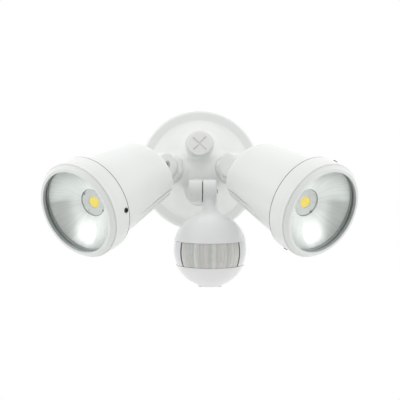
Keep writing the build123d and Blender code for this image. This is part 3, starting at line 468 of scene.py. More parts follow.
def turned_mesh(profile, place, steps=128, softened=0.0):
    """Mesh of a closed outline of (radius, height) points spun round the place's axis, its
    corners softened over this many millimetres."""
    outline = []
    if softened:
        for i, corner in enumerate(profile):
            corner = np.array(corner, float)
            before = np.array(profile[i - 1], float) - corner
            after = np.array(profile[(i + 1) % len(profile)], float) - corner
            reach = min(softened, np.linalg.norm(before) * 0.45, np.linalg.norm(after) * 0.45)
            if abs(corner[0]) < 1e-9:
                outline.append(tuple(corner))
                continue
            a = corner + before / np.linalg.norm(before) * reach
            b = corner + after / np.linalg.norm(after) * reach
            for t in (0, 0.25, 0.5, 0.75, 1):
                point = a * (1 - t) ** 2 + corner * 2 * t * (1 - t) + b * t ** 2
                outline.append(tuple(point))
    else:
        outline = [tuple(p) for p in profile]
    shape = bmesh.new()
    rings = []
    for step in range(steps):
        turn = 2 * pi * step / steps
        points = np.array([(r * cos(turn), r * sin(turn), h) for r, h in outline])
        rings.append([shape.verts.new(p) for p in placed(points, place)])
    for step in range(steps):
        here, there = rings[step], rings[(step + 1) % steps]
        for i in range(len(outline)):
            shape.faces.new((here[i - 1], there[i - 1], there[i], here[i]))
    bmesh.ops.remove_doubles(shape, verts=shape.verts, dist=1e-7)
    bmesh.ops.dissolve_degenerate(shape, dist=1e-7, edges=shape.edges)
    bmesh.ops.recalc_face_normals(shape, faces=shape.faces)
    return closed(shape, bpy.data.meshes.new("turned"), 38)


RING_T = 1.6
PLUG_R, PLUG_T, PLUG_SLOT, PLUG_TURN = 11.6, 3.2, 7.9, 48.0
PLUG_TOP = RING_T + PLUG_T


def plug_skin(points):
    skin = turned(points, own, [(0, RING_T), (PLUG_R, RING_T), (PLUG_R, PLUG_TOP - 0.8),
                                (PLUG_R - 0.25, PLUG_TOP - 0.25), (PLUG_R - 0.8, PLUG_TOP),
                                (0, PLUG_TOP)])
    skin = np.minimum(skin, turned(points, own, cylinder(10.2, RING_T + 0.4, -9.0)))
    skin = cut(skin, turned(points, own, cylinder(7.0, 0, -10)), 0.3)
    floor = PLUG_TOP - 1.2 - points[..., 2]
    x, y = points[..., 0], points[..., 1]
    slot = 1e3
    for turn in (PLUG_TURN, PLUG_TURN + 90):
        c, s = cos(radians(turn)), sin(radians(turn))
        along, across = x * c + y * s, y * c - x * s
        past = np.maximum(np.abs(along) - PLUG_SLOT, 0)
        slot = np.minimum(slot, np.hypot(past, across) - 0.6)
        for end in (-PLUG_SLOT, PLUG_SLOT):
            slot = np.minimum(slot, np.hypot(along - end, across) - 1.0)
    return cut(skin, np.maximum(slot, floor), 0.18)


finish_piece("blanking_plug_moulding",
             skin_of(plug_skin, (-12, -12, -9), (12, 12, 5), 0.24, ports["plug"]),
             "wall_plate", white_plastic, ["blanking_plug"])

# ------------------------------------------------------------------ sealing rings
# A moulded rubber ring lies under the plug and under each locknut, pressed onto the port.

# Silicone rubber: white, matt, so that it disappears between the coated parts.
seal_white = plastic("seal_white", "#EFF0EF", "#E8E9E8", 0.5, 0.6, 1.43)
for name in ("plug", "left", "right", "sensor"):
    inner, outer = (10.25, 11.45) if name == "plug" else (10.3, 12.6)
    node_name = "plug_o_ring" if name == "plug" else f"{name}_arm_o_ring"
    ring_mesh = turned_mesh(cylinder(outer, 0.02, RING_T - 0.02, inner), ports[name], 96, 0.5)
    finish_piece(f"{name}_port_ring", ring_mesh, "wall_plate", seal_white, [node_name])

# ------------------------------------------------------------------ locknuts and arms
# Each arm is a cast, powder-coated stub that screws into its port, is locked by a hexagon
# nut on a rubber ring, and ends in one half of a knuckle joint with a clamp screw across it.

NUT_T, NUT_FLATS, NUT_BORE = 4.6, 12.0, 10.3


def locknut_skin(points):
    x, y = points[..., 0], points[..., 1]
    hexagon = -1e3
    for turn in (15, 75, 135):
        c, s = cos(radians(turn)), sin(radians(turn))
        hexagon = np.maximum(hexagon, np.abs(x * c + y * s) - NUT_FLATS)
    nut = trim(hexagon, np.abs(points[..., 2] - RING_T - NUT_T / 2) - NUT_T / 2 + 0.02, 0.5)
    cone = turned(points, own, [(0, RING_T - 2), (16.5, RING_T - 2), (16.5, 3.4),
                                (12.2, RING_T + NUT_T), (0, RING_T + NUT_T)])
    nut = trim(nut, cone, 0.4)
    return cut(nut, turned(points, own, cylinder(NUT_BORE, 0, 9)), 0.3)


KNUCKLE_R, KNUCKLE_T, SEAM_SIDE, SEAM_GAP, PIN_BORE = 11.5, 13.0, 2.6, 0.7, 2.1
STEM_R, STEM_TOP_R, WIRE_BORE, SCREW_SINK_R, SEAL_R = 10.2, 9.6, 5.0, 3.65, 8.8
REACH = {"left": 21.0, "right": 21.0, "sensor": 20.0}


def hinge_disc(points, reach, low, high, radius):
    """Depth past the rim and past the ends of a disc that turns about the hinge."""
    across = np.hypot(points[..., 1], points[..., 2] - reach) - radius
    middle, half = (low + high) / 2, (high - low) / 2
    return across, np.abs(points[..., 0] - middle) - half


def arm_skin(reach):
    """Depth field of an arm whose hinge lies this far out of its port."""
    outer_side = SEAM_SIDE - KNUCKLE_T

    def field(points):
        stem = turned(points, own, [(0, -11.0), (STEM_R, -11.0), (STEM_R, 6.6),
                                    (STEM_TOP_R, 6.7), (STEM_TOP_R, reach), (0, reach)])
        half = trim(*hinge_disc(points, reach, outer_side, SEAM_SIDE, KNUCKLE_R), 1.2)
        skin = join(stem, half, 2.0)
        swing = hinge_disc(points, reach, SEAM_SIDE, SEAM_SIDE + 2 * KNUCKLE_T,
                           KNUCKLE_R + 0.4)
        skin = cut(skin, np.maximum(*swing), 0.25)
        skin = cut(skin, turned(points, own, cylinder(WIRE_BORE, -12, 14)), 0.3)
        sink = hinge_disc(points, reach, outer_side - 1, outer_side + 3.4, SCREW_SINK_R)
        skin = cut(skin, np.maximum(*sink), 0.35)
        skin = cut(skin, np.maximum(*hinge_disc(points, reach, -20, 20, PIN_BORE)), 0.1)
        across, ends = hinge_disc(points, reach, SEAM_SIDE - 1.25, SEAM_SIDE + 1, SEAL_R)
        return cut(skin, np.maximum(np.abs(across) - 0.9, ends), 0.1)
    return field


for name, reach in REACH.items():
    nut_mesh = skin_of(locknut_skin, (-14, -14, 1), (14, 14, 7), 0.36, ports[name])
    finish_piece(f"{name}_nut_moulding", nut_mesh, "wall_plate", white_plastic,
                 [f"{name}_locknut"])
    arm_mesh = skin_of(arm_skin(reach), (-11, -12, -11), (11, 12, reach + 12), 0.42,
                       ports[name])
    finish_piece(f"{name}_arm_casting", arm_mesh, f"{name}_arm", white_powder_coat,
                 [f"{name}_arm"])

# ------------------------------------------------------------------ lamp bodies
# Each lamp body is one casting: a tapered cup with cooling grooves under its rear end, a
# slanted and generously rounded back, and a neck with the other half of the knuckle.

PIVOT, BEZEL_BACK, BODY_BACK = 121.5, 21.6, 106.6
GROOVE_COUNT, GROOVE_STEP, GROOVE_FRONT, GROOVE_DEEP_R = 11, 11.25, 42.0, 23.5
LAMP_TILT, TAPER, SLANT, BACK_ROUND = 33.8, radians(7.0), radians(11.0), 9.0
lamps = {}
for side in ("left", "right"):
    origin, axes = ports[side]
    tilt = radians(LAMP_TILT)
    aim = axes[:, 2] * cos(tilt) + axes[:, 1] * sin(tilt)
    pivot = origin + axes[:, 2] * REACH[side]
    lamps[side] = stand(pivot + aim * PIVOT, aim, axes[:, 0])


def case_r(station):
    """Outer radius of the tapered case, this far behind the lamp's front."""
    return 41.0 - (station - BEZEL_BACK) * tan(TAPER)


def lamp_body_skin(points):
    x, y, z = points[..., 0], points[..., 1], points[..., 2]
    skin = turned(points, own, [(0, -11.8), (42.2, -11.8), (42.2, -20.8), (39.8, -20.8),
                                (39.8, -22.6), (case_r(22.6), -22.6), (case_r(PIVOT), -PIVOT),
                                (0, -PIVOT)])
    rear = -sin(SLANT) * y - cos(SLANT) * (z + BODY_BACK)
    skin = trim(skin, rear, 0.3)
    # the rear edge is rounded on its own, so that the front edges stay crisp
    cone = (np.hypot(x, y) - case_r(BODY_BACK)) * cos(TAPER) - (z + BODY_BACK) * sin(TAPER)
    skin = np.maximum(skin, trim(cone, rear, BACK_ROUND))
    share = (-z - GROOVE_FRONT) / (BODY_BACK - GROOVE_FRONT)
    floor_r = case_r(GROOVE_FRONT) + share * (GROOVE_DEEP_R - case_r(GROOVE_FRONT))
    floor_r = np.maximum(floor_r, GROOVE_DEEP_R)
    for number in range(GROOVE_COUNT):
        turn = radians((number - GROOVE_COUNT // 2) * GROOVE_STEP)
        outward = x * sin(turn) + y * cos(turn)
        across = np.abs(x * cos(turn) - y * sin(turn)) - 1.6
        groove = np.maximum(trim(across, floor_r - outward, 0.9), z + GROOVE_FRONT)
        skin = cut(skin, groove, 0.55)
    skin = join(skin, turned(points, own, cylinder(11.0, -88, -PIVOT)), 4.0)
    across = np.hypot(y, z + PIVOT)
    half = trim(across - KNUCKLE_R, np.abs(x - SEAM_SIDE - SEAM_GAP - KNUCKLE_T / 2)
                - KNUCKLE_T / 2, 1.2)
    skin = join(skin, half, 2.0)
    swing = np.maximum(across - KNUCKLE_R - 0.4, x - SEAM_SIDE - SEAM_GAP)
    skin = cut(skin, swing, 0.25)
    skin = cut(skin, np.maximum(across - PIN_BORE, x - 13.3), 0.1)
    inside = turned(points, own, [(0, -9), (38.6, -9), (38.6, -29.8), (33.7, -29.8),
                                  (22.0, -88), (0, -88)])
    skin = cut(skin, inside, 0.3)
    return cut(skin, turned(points, own, cylinder(44, -14.2, -16.2, 41.1)), 0.1)


for side, place in lamps.items():
    body_mesh = skin_of(lamp_body_skin, (-43, -43, -134), (43, 43, -11), 0.85, place)
    finish_piece(f"{side}_lamp_casting", body_mesh, f"{side}_lamp", white_powder_coat,
                 [f"{side}_body"])

# ------------------------------------------------------------------ bezels
# The bezel is a turned and powder-coated ring that slides over the front of the body. Two
# small set screws in tapped holes near its rear edge hold it, and a thin black ring just
# behind its rear edge paints the shadow of the seam between it and the body.

BEZEL_R, LIP_R, SLOPE_R, GROOVE_R, SKIRT_R = 45.0, 38.5, 43.9, 43.3, 42.5
SCREW_COUNT, SCREW_STATION, SCREW_OUTER, SCREW_MOUTH = 2, 18.4, 45.6, 43.7
bezel_outline = [(LIP_R, -0.1), (LIP_R + 0.3, 0), (41.1, 0), (41.4, -0.25), (43.3, -2.5),
                 (SLOPE_R, -3.3), (GROOVE_R, -3.4), (GROOVE_R, -4.35), (44.6, -4.4),
                 (BEZEL_R, -4.8), (BEZEL_R, -8.2), (44.8, -8.4), (BEZEL_R, -8.6),
                 (BEZEL_R, -15.2), (BEZEL_R, -18.4), (BEZEL_R, -BEZEL_BACK),
                 (SKIRT_R, -BEZEL_BACK), (SKIRT_R, -3.6), (LIP_R + 0.9, -3.6),
                 (LIP_R + 0.9, -0.6), (LIP_R, -0.6)]
BEZEL_TURN = {"left": 96.2, "right": 20.5}


def evaluated(*made):
    """Mesh of the first object as its modifiers leave it. All the objects are thrown away."""
    bpy.context.view_layer.update()
    graph = bpy.context.evaluated_depsgraph_get()
    mesh = bpy.data.meshes.new_from_object(made[0].evaluated_get(graph))
    for one in made:
        bpy.data.objects.remove(one)
    return mesh


def creased(mesh, angle=35):
    """The mesh, shaded smooth up to an angle in degrees."""
    mesh.shade_smooth()
    mesh.set_sharp_from_angle(angle=radians(angle))
    return mesh


def drilled(mesh, tools):
    """The mesh with holes cut by the tools, which are then thrown away."""
    work = linked("blank", mesh)
    for drill in tools:
        hole = work.modifiers.new("hole", "BOOLEAN")
        hole.operation = "DIFFERENCE"
        hole.solver = "EXACT"
        hole.object = drill
    return creased(evaluated(work, *tools))


def screw_way(side, number=0):
    """Centre of the lamp's set screws and the way out along one of them."""
    origin, axes = lamps[side]
    turn = radians(BEZEL_TURN[side] + 360 / SCREW_COUNT * number)
    return (origin - axes[:, 2] * SCREW_STATION,
            -axes[:, 1] * cos(turn) - axes[:, 0] * sin(turn))


drill_outline = [(0, 40), (2.02, 40), (2.02, SCREW_MOUTH), (2.6, SCREW_MOUTH), (2.6, 50),
                 (0, 50)]
for side, place in lamps.items():
    drills = [linked("drill", turned_mesh(drill_outline, stand(*screw_way(side, number),
                                                               place[1][:, 2]), 32))
              for number in range(SCREW_COUNT)]
    blank = turned_mesh(bezel_outline, place, 192, 0.25)
    finish_piece(f"{side}_bezel_ring", drilled(blank, drills), f"{side}_lamp",
                 white_powder_coat, [f"{side}_bezel"])
    # a thin black ring just behind the bezel's rear edge: a painted shadow of the seam
    seam_shadow_mesh = turned_mesh(cylinder(44.85, -21.62, -22.2, 44.0), place, 160)
    finish_piece(f"{side}_seam_shadow_ring", seam_shadow_mesh, f"{side}_lamp", seal_black)

# ------------------------------------------------------------------ bezel set screws
# Blackened M4 set screws with a hexagon socket, two in each bezel.

def new_growth(name, sizes):
    """An empty geometry tree with named inputs, their identifiers and their sockets."""
    tree = bpy.data.node_groups.new(name, "GeometryNodeTree")
    tree.interface.new_socket("Geometry", in_out="OUTPUT", socket_type="NodeSocketGeometry")
    inputs = {}
    for label, value in {**sizes, "Finish": None}.items():
        kind = {int: "Int", float: "Float"}.get(type(value), "Material")
        socket = tree.interface.new_socket(label, in_out="INPUT",
                                           socket_type=f"NodeSocket{kind}")
        if value is not None:
            socket.default_value = value
        inputs[label] = socket.identifier
    return tree, inputs, add(tree, "NodeGroupInput").outputs


def end_growth(tree, given, geometry):
    """Makes the tree's pieces real, in their finish."""
    real = add(tree, "GeometryNodeRealizeInstances", (), {"Geometry": geometry})
    painted = add(tree, "GeometryNodeSetMaterial", (),
                  {"Geometry": real.outputs[0], "Material": given["Finish"]})
    tree.links.new(painted.outputs[0], add(tree, "NodeGroupOutput").inputs[0])


screw_tree, screw_inputs, given = new_growth(
    "set_screw_ring", {"Count": SCREW_COUNT, "Outer end": SCREW_OUTER * MM,
                       "Screw radius": 1.95 * MM, "Length": 5.1 * MM,
                       "Socket radius": 1.1 * MM, "Socket depth": 1.6 * MM})
ring = add(screw_tree, "GeometryNodePoints", (), {"Count": given["Count"]})
step = maths(screw_tree, "DIVIDE", 2 * pi, given["Count"])
turn = maths(screw_tree, "MULTIPLY", add(screw_tree, "GeometryNodeInputIndex").outputs[0], step)
outward = add(screw_tree, "ShaderNodeCombineXYZ", (), {"X": maths(screw_tree, "COSINE", turn),
                                                       "Y": maths(screw_tree, "SINE", turn)})
facing = add(screw_tree, "FunctionNodeAlignRotationToVector", (),
             {"Vector": outward.outputs[0]}, axis="Z")


def standing(corners, radius, depth, middle):
    """An upright prism of the screw's tree, centred at a height."""
    body = add(screw_tree, "GeometryNodeMeshCylinder", {"Vertices": corners},
               {"Radius": radius, "Depth": depth}, fill_type="NGON")
    at = add(screw_tree, "ShaderNodeCombineXYZ", (), {"Z": middle})
    return add(screw_tree, "GeometryNodeTransform", (),
               {"Geometry": body.outputs["Mesh"], "Translation": at.outputs[0]}).outputs[0]


half_back = maths(screw_tree, "MULTIPLY", given["Length"], -0.5)
shank = standing(32, given["Screw radius"], given["Length"],
                 maths(screw_tree, "ADD", given["Outer end"], half_back))
recess = standing(6, given["Socket radius"],
                  maths(screw_tree, "MULTIPLY", given["Socket depth"], 2.0), given["Outer end"])
screw = add(screw_tree, "GeometryNodeMeshBoolean", (), {"Mesh 1": shank, "Mesh 2": recess},
            operation="DIFFERENCE")
screws = add(screw_tree, "GeometryNodeInstanceOnPoints", (),
             {"Points": ring.outputs[0], "Instance": screw.outputs[0],
              "Rotation": facing.outputs[0]})
end_growth(screw_tree, given, screws.outputs[0])


def grown(group, inputs, place):
    """Mesh that a node tree grows, put in its place."""
    host = linked("host", bpy.data.meshes.new("host"))
    modifier = host.modifiers.new("growth", "NODES")
    modifier.node_group = group
    for identifier, value in inputs.items():
        modifier[identifier] = value
    mesh = evaluated(host)
    origin, axes = place
    mesh.transform(Matrix([[*axes[i], origin[i] * MM] for i in range(3)] + [[0, 0, 0, 1]]))
    return creased(mesh)


for side, (origin, axes) in lamps.items():
    centre, first = screw_way(side)
    screw_mesh = grown(screw_tree,
                       {screw_inputs["Count"]: SCREW_COUNT,
                        screw_inputs["Outer end"]: SCREW_OUTER * MM,
                        screw_inputs["Finish"]: dark_steel}, stand(centre, axes[:, 2], first))
    finish_piece(f"{side}_set_screws", screw_mesh, f"{side}_lamp", dark_steel,
                 [f"{side}_bezel_screws"])

# ------------------------------------------------------------------ front glass and its seal
# A toughened flat glass closes each lamp. Behind it a grey silicone seal shows as a band
# between the bezel's lip and the reflector.

# Toughened soda-lime glass: clear, with a green edge; lamps shine through it.
lamp_glass, tree, output, place = new_material("lamp_glass")
clear = add(tree, "ShaderNodeBsdfPrincipled",
            {"Roughness": 0.0, "IOR": 1.5, "Transmission Weight": 1.0},
            {"Base Color": two_tones(tree, place, "#FDFEFE", "#F9FDFB", 12.0)[0]})
let_through = add(tree, "ShaderNodeBsdfTransparent", {"Color": linear("#F8FBFA")})
shadow_ray = add(tree, "ShaderNodeLightPath").outputs["Is Shadow Ray"]
passing = add(tree, "ShaderNodeMixShader", (), {0: shadow_ray, 1: clear.outputs[0],
                                                2: let_through.outputs[0]})
tree.links.new(passing.outputs[0], output.inputs[0])


def merged(meshes):
    """One mesh out of several."""
    shape = bmesh.new()
    for mesh in meshes:
        shape.from_mesh(mesh)
    return closed(shape, bpy.data.meshes.new("merged"), 40)


# Silicone: light grey with a green cast, satin.
seal_grey = plastic("seal_grey", "#D5DAD8", "#CBD0CE", 0.4, 0.55, 1.43)
GLASS_R, GLASS_FRONT, GLASS_BACK = 41.4, -3.61, -7.55

for side, place in lamps.items():
    glass_mesh = turned_mesh(cylinder(GLASS_R, GLASS_FRONT, GLASS_BACK), place, 160, 0.4)
    finish_piece(f"{side}_front_glass", glass_mesh, f"{side}_lamp", lamp_glass,
                 [f"{side}_glass"])
    seal_mesh = merged([turned_mesh(cylinder(41.45, -7.62, -10.85, 38.05), place, 160, 0.4),
                        turned_mesh(cylinder(39.3, -0.7, -3.55, 38.55), place, 160, 0.15)])
    finish_piece(f"{side}_silicone_seal", seal_mesh, f"{side}_lamp", seal_grey,
                 [f"{side}_glass_seal"])

# ------------------------------------------------------------------ reflectors
# Deep bowls spun from aluminium sheet and brightened. The lathe leaves fine rings, which
# pull the highlights into bright and dark wedges.

# Brightened spun aluminium: a soft mirror, brushed round the axis.
reflector_aluminium, tree, output, place = new_material("reflector_aluminium")
brushed = add(tree, "ShaderNodeUVMap", uv_map="lathe")
round_and_along = add(tree, "ShaderNodeSeparateXYZ", (), {"Vector": brushed.outputs[0]})
along = add(tree, "ShaderNodeCombineXYZ", (), {"Y": round_and_along.outputs["Y"]})
# tool rings about 0.5 mm apart
rings = add(tree, "ShaderNodeTexNoise", {"Scale": 2200.0, "Detail": 2.0},
            {"Vector": along.outputs[0]})
ring_bump = add(tree, "ShaderNodeBump", {"Strength": 0.12, "Distance": 0.00003},
                {"Height": rings.outputs["Fac"]})
haze = add(tree, "ShaderNodeMapRange", {"To Min": 0.27, "To Max": 0.33},
           {"Value": rings.outputs["Fac"]})
# faint rays from the polishing mop, about a degree wide, which also paint streaks of reflection
# into the base colour
rays = add(tree, "ShaderNodeTexNoise", {"Scale": 1.0, "Detail": 2.0},
           {"Vector": add(tree, "ShaderNodeVectorMath", {1: (140.0, 30.0, 1.0)},
                          {0: brushed.outputs[0]}, operation="MULTIPLY").outputs[0]})
ray_contrast = add(tree, "ShaderNodeMapRange", {"From Min": 0.35, "From Max": 0.65},
                   {"Value": rays.outputs["Fac"]})
mop_rays_and_painted_streaks = add(tree, "ShaderNodeMix", {"A": linear("#ECEEEC"), "B": linear("#FCFDFC")},
            {"Factor": ray_contrast.outputs[0]}, data_type="RGBA")
lathe_way = add(tree, "ShaderNodeTangent", direction_type="UV_MAP", uv_map="lathe")
surface(tree, output, {"Metallic": 1.0, "Anisotropic": 1.0, "Anisotropic Rotation": 0.25},
        {"Base Color": mop_rays_and_painted_streaks.outputs["Result"], "Roughness": haze.outputs[0],
         "Normal": ring_bump.outputs[0], "Tangent": lathe_way.outputs[0]})


def bowl_arc(start, end, bulge, steps=18):
    """Points of the bowl's arc between two outline points, bulging outward."""
    a, b = np.array(start, float), np.array(end, float)
    chord = np.linalg.norm(b - a)
    normal = np.array([-(b - a)[1], (b - a)[0]]) / chord
    radius = (chord ** 2 / 4 + bulge ** 2) / (2 * bulge)
    centre = (a + b) / 2 + normal * (bulge - radius)
    first, last = a - centre, b - centre
    turn = np.arctan2(first[0] * last[1] - first[1] * last[0], first @ last)
    points = []
    for t in np.linspace(0, 1, steps + 1):
        c, s = cos(turn * t), sin(turn * t)
        points.append(tuple(centre + (c * first[0] - s * first[1],
                                      s * first[0] + c * first[1])))
    return points


bowl_inner = bowl_arc((38.0, -10.9), (12.2, -23.0), 3.5)
bowl_outer = bowl_arc((12.2, -23.9), (38.45, -11.8), -3.5)
reflector_outline = bowl_inner + bowl_outer + [(41.4, -11.78), (41.4, -10.92)]
for side, place in lamps.items():
    bowl_mesh = turned_mesh(reflector_outline, place, 192)
    origin, axes = place
    layer = bowl_mesh.uv_layers.new(name="lathe")
    for polygon in bowl_mesh.polygons:
        middle_turn = None
        for loop in polygon.loop_indices:
            corner = bowl_mesh.vertices[bowl_mesh.loops[loop].vertex_index].co
            local = (np.array(corner) / MM - origin) @ axes
            turn = np.arctan2(local[1], local[0]) / (2 * pi)
            if middle_turn is not None and abs(turn - middle_turn) > 0.5:
                turn += 1 if turn < middle_turn else -1
            middle_turn = turn if middle_turn is None else middle_turn
            layer.data[loop].uv = (turn, np.hypot(local[0], local[1]) * MM)
    finish_piece(f"{side}_spun_reflector", bowl_mesh, f"{side}_lamp", reflector_aluminium,
                 [f"{side}_reflector"])

# ------------------------------------------------------------------ light source
# A square white ceramic board with a round field of yellow phosphor sits on the heat plate,
# under a moulded ring that holds it by its edges.

# Glazed ceramic: bright white.
board_ceramic = plastic("board_ceramic", "#F3F3F0", "#EBEBE6", 0.25, 0.35, 1.6)
# Phosphor in silicone: strong warm yellow, a little grainy, with a faint painted glow that
# brightens it.
led_phosphor, tree, output, place = new_material("led_phosphor")
tone = two_tones(tree, place, "#FFE22E", "#FFD918", 1500.0)[0]
# the emission is a painted glow, not light from the board
surface(tree, output, {"Roughness": 0.35, "IOR": 1.43, "Emission Strength": 0.3},
        {"Base Color": tone, "Emission Color": tone,
         "Normal": bumped(tree, place, 3000.0, 0.15, 0.05)})
# Polybutylene: white, satin.
holder_plastic = plastic("holder_plastic", "#F7F8F6", "#F0F1EF", 0.3, 0.42)
PLATE_FRONT = 25.8


def board_skin(points):
    x, y, z = points[..., 0], points[..., 1], points[..., 2] + PLATE_FRONT
    square = np.hypot(np.maximum(np.abs(x) - 7.2, 0), np.maximum(np.abs(y) - 7.2, 0)) - 0.8
    board = trim(square, np.abs(z - 0.6) - 0.58, 0.12)
    rim = np.abs(np.hypot(x, y) - 4.95) - 0.22
    return join(board, np.maximum(rim, np.abs(z - 1.2) - 0.3), 0.1)


def holder_skin(points):
    x, y, z = points[..., 0], points[..., 1], points[..., 2] + PLATE_FRONT
    r = np.hypot(x, y)
    ring = turned(points, own, [(5.35, -24.05), (11.3, -23.75), (11.7, -24.15), (12.1, -24.2),
                                (12.1, -25.75), (5.35, -25.75)])
    square = np.maximum(np.abs(x), np.abs(y)) - 8.15
    ring = cut(ring, np.maximum(square, z - 1.25), 0.1)
    # two screw pits and two wire notches
    for turn in (45, 225):
        c, s = cos(radians(turn)), sin(radians(turn))
        pit = np.hypot(x - 9.3 * c, y - 9.3 * s) - 1.1
        ring = cut(ring, np.maximum(pit, 1.45 - z), 0.12)
    for turn in (135, 315):
        c, s = cos(radians(turn)), sin(radians(turn))
        notch = np.maximum(np.abs(y * c - x * s) - 1.0, 10.2 - (x * c + y * s))
        ring = cut(ring, notch, 0.15)
    return ring


phosphor_outline = [(0, -24.62), (4.65, -24.62), (4.7, -24.4), (4.5, -24.25), (4.0, -24.21),
                    (0, -24.2)]
for side, place in lamps.items():
    lamp = f"{side}_lamp"
    board_mesh = skin_of(board_skin, (-8.2, -8.2, -25.9), (8.2, 8.2, -24.2), 0.2, place)
    finish_piece(f"{side}_led_board", board_mesh, lamp, board_ceramic,
                 [f"{side}_led_module"])
    gel_mesh = turned_mesh(phosphor_outline, place, 64)
    finish_piece(f"{side}_led_gel", gel_mesh, lamp, led_phosphor)
    holder_mesh = skin_of(holder_skin, (-13, -13, -25.8), (13, 13, -23.6), 0.22, place)
    finish_piece(f"{side}_board_holder", holder_mesh, lamp, holder_plastic,
                 [f"{side}_led_holder"])

# Glass-fibre circuit board: green solder mask over the copper's faint pattern.
circuit_board, tree, output, place = new_material("circuit_board")
tracks = add(tree, "ShaderNodeTexVoronoi", {"Scale": 220.0}, {"Vector": place},
             distance="MANHATTAN")
lines = add(tree, "ShaderNodeMix", {"A": linear("#1F5B3A"), "B": linear("#2C7A4E")},
            {"Factor": tracks.outputs["Distance"]}, data_type="RGBA")
surface(tree, output, {"Roughness": 0.35}, {"Base Color": lines.outputs["Result"]})
# Glass-filled nylon: black, satin.
black_plastic = plastic("black_plastic", "#222324", "#2B2C2D", 0.35, 0.5)
dress(circuit_board, "left_led_driver", "right_led_driver", "sensor_board")
dress(black_plastic, "sensor_relay", "sensor_detector_stand")

# ------------------------------------------------------------------ motion sensor shells
# The sensor is a ball of two moulded ASA shells. The upper one has the neck and its half of
# the knuckle, the lower one the flat pad that the two controls come through.

# ASA: a clean cool white with a slight gloss.
sensor_white_plastic = plastic("sensor_white_plastic", "#F6F6F6", "#F1F1F2", 0.26, 0.34)

BALL_R, INNER_R, BAND_TOP, BAND_BOTTOM = 35.0, 32.8, 9.2, -13.7
LENS_HALF, CHEEK_END, BAR = 51.0, 104.0, 2.6
BALL_DROP, NECK_ANGLE, BALL_LEAN, KNUCKLE_X = 59.1, 23.0, radians(5), 9.8
sensor_pivot = np.array([KNUCKLE_X, -62.0, -21.3])
drop = heading(0, NECK_ANGLE - 90)
ball_up = np.array([0, -sin(BALL_LEAN), cos(BALL_LEAN)])
ball = stand(sensor_pivot + drop * BALL_DROP, ball_up, (1, 0, 0))
neck = stand(sensor_pivot, drop, (1, 0, 0))


def upper_shell_skin(points):
    local = (points - ball[0]) @ ball[1]
    azimuth = np.degrees(np.arctan2(local[..., 0], -local[..., 1]))
    radius, height = np.hypot(local[..., 0], local[..., 1]), local[..., 2]
    far = np.hypot(radius, height)
    stem = turned(points, neck, cylinder(6.5, 0, 27.0))
    shell = trim(join(far - BALL_R, stem, 10.0), INNER_R - far, 0.45)
    rear = np.maximum(BAND_BOTTOM + 0.15 - height,
                      (CHEEK_END + BAR - np.abs(azimuth)) * radians(1) * radius)
    shell = trim(shell, np.minimum(BAND_TOP - height, rear), 0.35)
    across = np.hypot(points[..., 1] - sensor_pivot[1], points[..., 2] - sensor_pivot[2])
    half = trim(across - KNUCKLE_R, np.abs(points[..., 0] - KNUCKLE_X) - KNUCKLE_T / 2, 1.2)
    shell = join(shell, half, 2.5)
    shell = cut(shell, np.maximum(across - KNUCKLE_R - 0.4, points[..., 0] - 3.3), 0.25)
    return cut(shell, across - 2.06, 0.25)


finish_piece("sensor_upper_moulding",
             skin_of(upper_shell_skin, (-26, -121, -91), (46, -49, -8), 0.56),
             "sensor_head", sensor_white_plastic, ["sensor_upper_shell"])

PAD_R, PAD_BOTTOM, DIAL_X, DIAL_R, DIAL_PROUD = 11.8, -33.7, 8.3, 2.6, 1.5
SHELL_SCREW_X, SHELL_SCREW_Y, SHELL_POST_R, SHELL_WELL_R = 18.74, 20.81, 3.6, 2.95


def lower_shell_skin(points):
    z = points[..., 2]
    radius = np.hypot(points[..., 0], points[..., 1])
    far = np.hypot(radius, z)
    outer = join(far - BALL_R, trim(radius - PAD_R, np.abs(z + 20) + PAD_BOTTOM + 20, 0.5), 1.5)
    floor = np.maximum(far - INNER_R, -30.75 - z)
    shell = cut(outer, floor, 0.4)
    shell = trim(shell, z - BAND_BOTTOM, 0.35)
    for side in (-1, 1):
        across = np.hypot(points[..., 0] - side * DIAL_X, points[..., 1])
        shell = cut(shell, np.maximum(across - 3.0, z + 32.4), 0.25)
        shell = cut(shell, across - 1.35, 0.1)
    for side in (-1, 1):
        away = np.hypot(points[..., 0] - side * SHELL_SCREW_X, points[..., 1] - SHELL_SCREW_Y)
        well = np.maximum(away - SHELL_WELL_R, z + 17.5)
        post = np.maximum(away - SHELL_POST_R, np.maximum(z - BAND_BOTTOM, far - BALL_R + 0.3))
        shell = cut(np.minimum(shell, post), well, 0.3)
        shell = cut(shell, away - 1.65, 0.1)
    return shell


finish_piece("sensor_lower_moulding",
             skin_of(lower_shell_skin, (-33, -33, -35), (33, 33, -13), 0.5, ball),
             "sensor_head", sensor_white_plastic, ["sensor_lower_shell"])

# ------------------------------------------------------------------ sensor lens
# A curved sheet of milky polyethylene, moulded inside into upright Fresnel facets that
# gather heat from different directions. Each facet gets a painted shade of its own, so that
# it looks finely striped.

# Polyethylene: milky, greyish beige, softly translucent; the stripes are painted shades, one for
# each facet.
lens_plastic, tree, output, place = new_material("lens_plastic")
facet_shade = add(tree, "ShaderNodeAttribute", attribute_name="facet_shade")
facet_shade_ramp = add(tree, "ShaderNodeValToRGB", (), {"Fac": facet_shade.outputs["Fac"]})
ramp = facet_shade_ramp.color_ramp
ramp.elements[0].color = linear("#DEDFDE")
ramp.elements[1].color = linear("#F3F4F3")
ramp.elements.new(0.5).color = linear("#E9E5E2")
tone = two_tones(tree, place, "#FFFFFF", "#E9E9E6", 160.0)[0]
lens_tone_and_facet_shades = add(tree, "ShaderNodeMix", {"Factor": 1.0},
            {"A": facet_shade_ramp.outputs["Color"], "B": tone}, data_type="RGBA", blend_type="MULTIPLY")
surface(tree, output, {"Roughness": 0.22, "IOR": 1.54, "Transmission Weight": 0.1},
        {"Base Color": lens_tone_and_facet_shades.outputs["Result"]})

